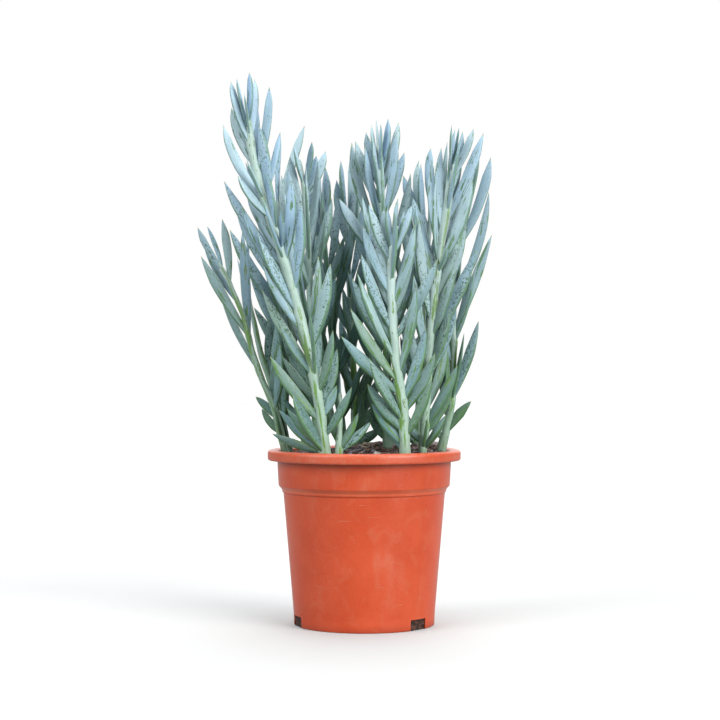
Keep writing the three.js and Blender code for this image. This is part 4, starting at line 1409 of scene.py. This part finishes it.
# Painted light on the step under the collar
colour = r.mix(step, colour, POT["painted light on the step"])
colour = r.mix(r.math("MULTIPLY", scratch, 0.25), colour, POT["scratch"])
colour = r.mix(r.math("MULTIPLY", specks, 0.5), colour, POT["speck"])
colour = r.mix(r.between(height, 0.0, 6 * MM, 0.3, 0.0), colour, POT["damp foot"])
rough = r.math("ADD", r.between(cloud, 0.3, 0.7, 0.27, 0.36), r.math("MULTIPLY", chalk, 0.12))
rough = r.math("ADD", rough, r.math("MULTIPLY", blotch, 0.05))
rough = r.math("ADD", rough, r.math("MULTIPLY", lip, 0.06))
r.feed(shader, {
    "Base Color": colour,
    "Roughness": rough,
    "Specular IOR Level": 0.36,
    "Normal": r.bump(r.math("ADD", r.math("MULTIPLY", grain, 0.8), scratch), 0.45, 0.25 * MM),
})
print("material", plastic.name, "has", len(plastic.node_tree.nodes), "nodes")

# %% [markdown]
# Water leaves through three notches in the foot ring. Each is cut with a block by a boolean, as a moulding
# tool would leave it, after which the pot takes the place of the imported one.

# %% Cut the drain notches
NOTCH = {"width": 15, "height": 7.2, "depth": 9, "radius": 47.5, "azimuths": (49, 169, 289)}
SHARP_ANGLE = 32


def facing(azimuth):
    """The ways out of the pot and along its wall at an azimuth"""
    turn = math.radians(azimuth)
    return np.array((math.sin(turn), -math.cos(turn), 0)), np.array((math.cos(turn), math.sin(turn), 0))


pot = pot_body.build("moulded_pot", [plastic], ["pot"], SHARP_ANGLE)
cutters = Skin()
for azimuth in NOTCH["azimuths"]:
    out, side = facing(azimuth)
    ring = [
        out * (NOTCH["radius"] + a * NOTCH["depth"] / 2) + side * (b * NOTCH["width"] / 2)
        for a, b in ((-1, -1), (1, -1), (1, 1), (-1, 1))
    ]
    heights = (-NOTCH["height"], NOTCH["height"])
    cutters.loft(np.array([[point + (0, 0, z) for point in ring] for z in heights]))
blocks = cutters.build("notch_blocks", [plastic])
cut = pot.modifiers.new("notches", "BOOLEAN")
cut.object = blocks
cut.operation = "DIFFERENCE"
cut.solver = "EXACT"
bpy.context.view_layer.update()
finished = bpy.data.meshes.new_from_object(pot.evaluated_get(bpy.context.evaluated_depsgraph_get()))
pot.modifiers.clear()
pot.data = finished
bpy.data.objects.remove(blocks)
finished.set_sharp_from_angle(angle=math.radians(SHARP_ANGLE))
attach(pot, ROOT)
print(pot.name, "triangles", triangles(pot.data))

# %% [markdown]
# Potting mix is crumbs of peat with bark, fibres and pale grit. Its body is one closed skin with a crumbly
# top and side, since it shows through the notches too. The larger bits are pieces of their own below.

# %% Heap the potting mix
MIX_AROUND = 200
MIX_RINGS = 64
MIX_GAP = 0.4
MIX_CRUMB = ((0.22, 1.1), (0.55, 0.5), (1.3, 0.28))
MIX_SIDE_STEP = 3.0
MIX_SIDE_DIP = 0.4
MIX_EDGE_DROP = 1.0


def crumb(x, y, z):
    """How far the crumbs stand out at a place"""
    return sum(depth * rough_noise.noise(Vector((x, y, z)) * size) for size, depth in MIX_CRUMB)


mix_wall = [np.array((out - MIX_GAP, z + MIX_GAP)) for out, z, _ in reversed(POT_INSIDE)]
mix_wall.append(np.array((SOIL_RADIUS, SOIL_LEVEL - MIX_EDGE_DROP)))
mix_top = [np.array((SOIL_RADIUS * (1 - k / MIX_RINGS), SOIL_LEVEL)) for k in range(MIX_RINGS + 1)]
mix_outline = [np.array((0, FLOOR_TOP + MIX_GAP)), *divided(mix_wall, MIX_SIDE_STEP), *mix_top]
mix_body = Skin()
lathe(mix_body, mix_outline, MIX_AROUND)
points = mix_body.points[0]
for i, (x, y, z) in enumerate(points):
    stand = crumb(x, y, z)
    if z > SOIL_LEVEL - 0.01:
        points[i, 2] = soil_height(x, y) + stand
    elif z > FLOOR_TOP + 2 * MIX_GAP:
        reach = math.hypot(x, y)
        points[i, :2] *= 1 - max(0, MIX_SIDE_DIP - stand) / max(reach, 1)
print("points in the mix:", len(points))

# %% [markdown]
# Wet peat is almost black and dries to a grey brown. Where it shows through the notches it has been washed
# redder. Bark is darker than its torn edges, and the shreds that lie on top have weathered to a violet grey,
# painted paler than that as a glint. A few bits of grit are cream.

# %% Colour the potting mix and build it
PEAT = {
    "wet": srgb(26, 20, 18), "dry": srgb(84, 66, 56), "crumb": srgb(132, 114, 98),
    "washed, wet": srgb(34, 15, 11), "washed, dry": srgb(104, 58, 42),
}
BITS = {
    "bark": srgb(34, 22, 20), "bark, brown": srgb(104, 62, 50), "torn bark": srgb(184, 146, 124),
    "violet grey shred with painted glint": srgb(204, 204, 230), "grit": srgb(222, 204, 164), "crack": srgb(26, 18, 16),
}

peat, r, shader = make_material("peat")
place = r.place()
lump = r.noise(place, 420.0, 4.0, 0.65)
colour = r.mix(r.between(lump, 0.35, 0.65), PEAT["wet"], PEAT["dry"])
colour = r.mix(r.between(r.noise(place, 900.0), 0.62, 0.72), colour, PEAT["crumb"])
washed = r.mix(r.between(lump, 0.4, 0.65), PEAT["washed, wet"], PEAT["washed, dry"])
r.feed(shader, {
    "Base Color": r.mix(r.between(r.height(), 10 * MM, 30 * MM, 1.0, 0.0), colour, washed),
    "Roughness": r.between(lump, 0.3, 0.7, 0.95, 0.8),
    "Normal": r.bump(lump, 0.8, 1.2 * MM),
})

bits, r, shader = make_material("bark_and_grit")
tone = r.attribute("tone")
streak = r.noise(r.stretch(r.place(), (1, 1, 3)), 500.0, 3.0, 0.6)
colour = r.mix(r.between(tone, 0.0, 0.45), BITS["bark"], BITS["bark, brown"])
colour = r.mix(r.between(tone, 0.45, 0.75), colour, BITS["torn bark"])
# Painted highlight: the shreds' pale violet grey stands partly for a glint
colour = r.mix(r.between(tone, 0.80, 0.90), colour, BITS["violet grey shred with painted glint"])
colour = r.mix(r.between(tone, 0.93, 0.95), colour, BITS["grit"])
r.feed(shader, {
    "Base Color": r.mix(r.between(streak, 0.35, 0.7, 0.6, 0.0), colour, BITS["crack"]),
    "Roughness": r.between(streak, 0.3, 0.7, 0.8, 0.5),
    "Normal": r.bump(streak, 0.6, 0.6 * MM),
})

mix_piece = mix_body.build("potting_mix_body", [peat], ["potting_mix"])
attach(mix_piece, ROOT)
print(mix_piece.name, "triangles", triangles(mix_piece.data))

# %% [markdown]
# Loose bits lie on the mix where the stems leave room: most of them all over it, and some on the heap at the
# rim. Two small helpers find such a place and turn a bit at random.

# %% Find room for loose bits
STEM_ROOM = 1.5
RIM_ROOM = 2.5
ON_HEAP = {"count": 110, "x": HEAP["x"] - 3, "y": HEAP["y"] - 5, "across": 4, "deep": 8, "room": 2}


def free_place(random, spread_out=True):
    """A place on the mix that is clear of the stems"""
    while True:
        angle = random.uniform(0, 2 * np.pi)
        reach = (SOIL_RADIUS - RIM_ROOM) * math.sqrt(random.random())
        x = reach * math.cos(angle)
        y = reach * math.sin(angle)
        if not spread_out:
            x = random.normal(ON_HEAP["x"], ON_HEAP["across"])
            y = random.normal(ON_HEAP["y"], ON_HEAP["deep"])
            if math.hypot(x, y) > SOIL_RADIUS - ON_HEAP["room"]:
                continue
        room = min(math.hypot(x - s.line[0][0], y - s.line[0][1]) - s.thick[0] / 2 for s in stems)
        if room > STEM_ROOM:
            return x, y


def turned_by(random, tilt):
    """A turn about the upright by any angle, and a small tilt"""
    spin = random.uniform(0, 2 * np.pi)
    lean = random.normal(0, tilt, 2)
    about_z = np.array(((math.cos(spin), -math.sin(spin), 0), (math.sin(spin), math.cos(spin), 0), (0, 0, 1)))
    cx, sx = math.cos(lean[0]), math.sin(lean[0])
    cy, sy = math.cos(lean[1]), math.sin(lean[1])
    about_x = np.array(((1, 0, 0), (0, cx, -sx), (0, sx, cx)))
    about_y = np.array(((cy, 0, sy), (0, 1, 0), (-sy, 0, cy)))
    return about_y @ about_x @ about_z


print("room on the mix is", STEM_ROOM, "mm or more from a stem")

# %% [markdown]
# Bark chips are torn, flat and irregular. Each starts as a block cut into small faces, and a noise pushes the
# faces in and out, which looks more torn than a smooth stone would. Small ones are far commoner than large.

# %% Scatter bark chips and grit
CHIPS = {
    "count": 700, "smallest": 0.5, "largest": 3.0, "few_large": 2.2, "narrow": (0.45, 0.9),
    "flatness": 0.36, "flat": (0.6, 1.5), "sink": 0.35, "tilt": 0.35, "seed": 21,
}
TORN = {"push": 0.5, "size": 1.3, "next": 7.1, "block": 0.55, "ball": 0.54}
CHIP_CUTS = 3


def chip_block(cuts):
    """A cube with every side cut into small faces, as points and faces"""
    block = bmesh.new()
    bmesh.ops.create_cube(block, size=2)
    bmesh.ops.subdivide_edges(block, edges=block.edges, cuts=cuts, use_grid_fill=True)
    points = np.array([v.co for v in block.verts])
    faces = [tuple(v.index for v in face.verts) for face in block.faces]
    block.free()
    return points, faces


def torn_chip(number):
    """A block with its faces pushed in and out, half way to a ball"""
    shift = Vector((number * TORN["next"], 0, 0))
    pushed = np.array([
        p * (1 + TORN["push"] * rough_noise.noise(Vector(p) * TORN["size"] + shift)) for p in block_points
    ])
    away = pushed / np.linalg.norm(pushed, axis=1, keepdims=True)
    return TORN["block"] * pushed + TORN["ball"] * away


random = np.random.default_rng(CHIPS["seed"])
block_points, block_faces = chip_block(CHIP_CUTS)
chips = Skin()
for number in range(CHIPS["count"] + ON_HEAP["count"]):
    x, y = free_place(random, number < CHIPS["count"])
    size = CHIPS["smallest"] + (CHIPS["largest"] - CHIPS["smallest"]) * random.random() ** CHIPS["few_large"]
    narrow = random.uniform(*CHIPS["narrow"])
    shape = np.array((1, narrow, CHIPS["flatness"] * random.uniform(*CHIPS["flat"]))) * size
    turn = turned_by(random, CHIPS["tilt"])
    lift = soil_height(x, y) + shape[2] * (1 - CHIPS["sink"])
    placed = (torn_chip(number) * shape) @ turn.T + (x, y, lift)
    chips.add(placed, block_faces, 0, tone=np.full(len(placed), random.random()))
chip_piece = chips.build("bark_chips", [bits], smooth_below=28)
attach(chip_piece, ROOT)
print(chip_piece.name, "triangles", triangles(chip_piece.data))

# %% [markdown]
# Watering has washed mix into the three notches. Each holds a crumbly lump that ends a little behind the
# wall. It is a block cut into many faces, of which only the outer ones are crumbled.

# %% Fill the notches with mix
PLUG = {"from": 43.3, "to": 46.4, "gap": 0.3, "crumb": 0.9, "finer": 2, "dip": 0.4, "cuts": 18}
OUTER_FACE = 0.99

plug_points, plug_faces = chip_block(PLUG["cuts"])
plug_size = (PLUG["to"] - PLUG["from"], NOTCH["width"] - 2 * PLUG["gap"], NOTCH["height"] - 2 * PLUG["gap"])
plug_half = np.array(plug_size) / 2
plugs = Skin()
for azimuth in NOTCH["azimuths"]:
    out, side = facing(azimuth)
    middle = out * (PLUG["from"] + plug_half[0]) + (0, 0, NOTCH["height"] / 2)
    placed = middle + (plug_points * plug_half) @ np.array((out, side, (0, 0, 1)))
    for i, point in enumerate(placed):
        if plug_points[i, 0] > OUTER_FACE:
            placed[i] += out * (PLUG["crumb"] * crumb(*point * PLUG["finer"]) - PLUG["dip"])
    plugs.add(placed, plug_faces, 0)
plug_piece = plugs.build("mix_in_notches", [peat])
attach(plug_piece, ROOT)
print(plug_piece.name, "triangles", triangles(plug_piece.data))

# %% [markdown]
# Shreds of bark and dead root lie over the chips in loose curls. Each is a flat tube on a wandering line that
# follows the top of the mix. The few that show best between the stems are laid first, each at its own place,
# and the rest are drawn at random.

# %% Curl the fibres
FIBRES = {
    "count": 320, "shortest": 6, "longest": 30, "curl": 0.32, "wander": 0.18, "tones": (0.3, 0.96),
    "radius": 0.38, "spread": (0.6, 1.5), "flat": 0.45, "ends": (0.5, 2.9), "steps": 14, "around": 5,
    "rim_room": 1,
}
FIBRE_LIFT = {"low": 1.7, "arch": 1.1}
# Tones near 0.9 give the pale violet grey shred with its painted glint
FIBRES_THAT_SHOW = [
    (3, -19, 1.2, -0.20, 30, 0.78), (5, -22, 1.0, -0.17, 28, 0.70), (-12, -19, 0.5, -0.06, 14, 0.92),
    (-9, -21, 0.2, 0.05, 12, 0.90), (-16, -16, 0.9, -0.12, 12, 0.92), (20, -18, 2.6, 0.10, 18, 0.75),
]
FEWEST_POINTS = 4

fibre_angle = 2 * np.pi * np.arange(FIBRES["around"]) / FIBRES["around"]


def drawn_fibre(random):
    """Where a fibre starts, its first heading, how it curls at each step, its length and its tone"""
    x, y = free_place(random)
    heading = random.uniform(0, 2 * np.pi)
    length = random.uniform(FIBRES["shortest"], FIBRES["longest"])
    return x, y, heading, random.normal(0, FIBRES["curl"]), length, random.uniform(*FIBRES["tones"])


def fibre_line(random, x, y, heading, curl, length):
    """Points along a fibre that follows the top of the mix in a low arch"""
    line = []
    for k in range(FIBRES["steps"]):
        if math.hypot(x, y) > SOIL_RADIUS - FIBRES["rim_room"]:
            break
        arch = FIBRE_LIFT["arch"] * math.sin(math.pi * k / (FIBRES["steps"] - 1)) * abs(curl)
        line.append((x, y, soil_height(x, y) + FIBRE_LIFT["low"] + arch))
        x += length / FIBRES["steps"] * math.cos(heading)
        y += length / FIBRES["steps"] * math.sin(heading)
        heading += curl + random.normal(0, FIBRES["wander"])
    return np.array(line)


def fibre_rings(random, line):
    """Flat rings along a line, which taper to both of its ends"""
    along = unit(np.gradient(line, axis=0))
    side = unit(np.cross(along, (0, 0, 1)))
    up = np.cross(side, along)
    taper = np.sin(np.linspace(*FIBRES["ends"], len(line))) * FIBRES["radius"]
    reach = (random.uniform(*FIBRES["spread"]) * taper)[:, None]
    across = (np.cos(fibre_angle) * reach)[..., None] * side[:, None]
    rise = (np.sin(fibre_angle) * reach * FIBRES["flat"])[..., None] * up[:, None]
    return (line[:, None] + across + rise)[:, ::-1]


fibres = Skin()
drawn = [drawn_fibre(random) for _ in range(FIBRES["count"])]
for *route, tone in FIBRES_THAT_SHOW + drawn:
    line = fibre_line(random, *route)
    if len(line) >= FEWEST_POINTS:
        rings = fibre_rings(random, line)
        fibres.loft(rings, tone=np.full(rings.shape[0] * rings.shape[1], tone))
fibre_piece = fibres.build("root_fibres", [bits])
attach(fibre_piece, ROOT)
print(fibre_piece.name, "triangles", triangles(fibre_piece.data))

# %% [markdown]
# The finer pieces must not make the object bigger. Both boxes are printed, the imported one and the one
# with the finer pieces, so that they can be compared.

# %% Print the sizes
boxes = {
    "cad": [list(corner) for corner in cad_box],
    "visual": [list(corner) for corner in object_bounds()],
}
for label, (low, high) in boxes.items():
    print(label, "box:", [round((b - a) / MM, 1) for a, b in zip(low, high)], "mm")
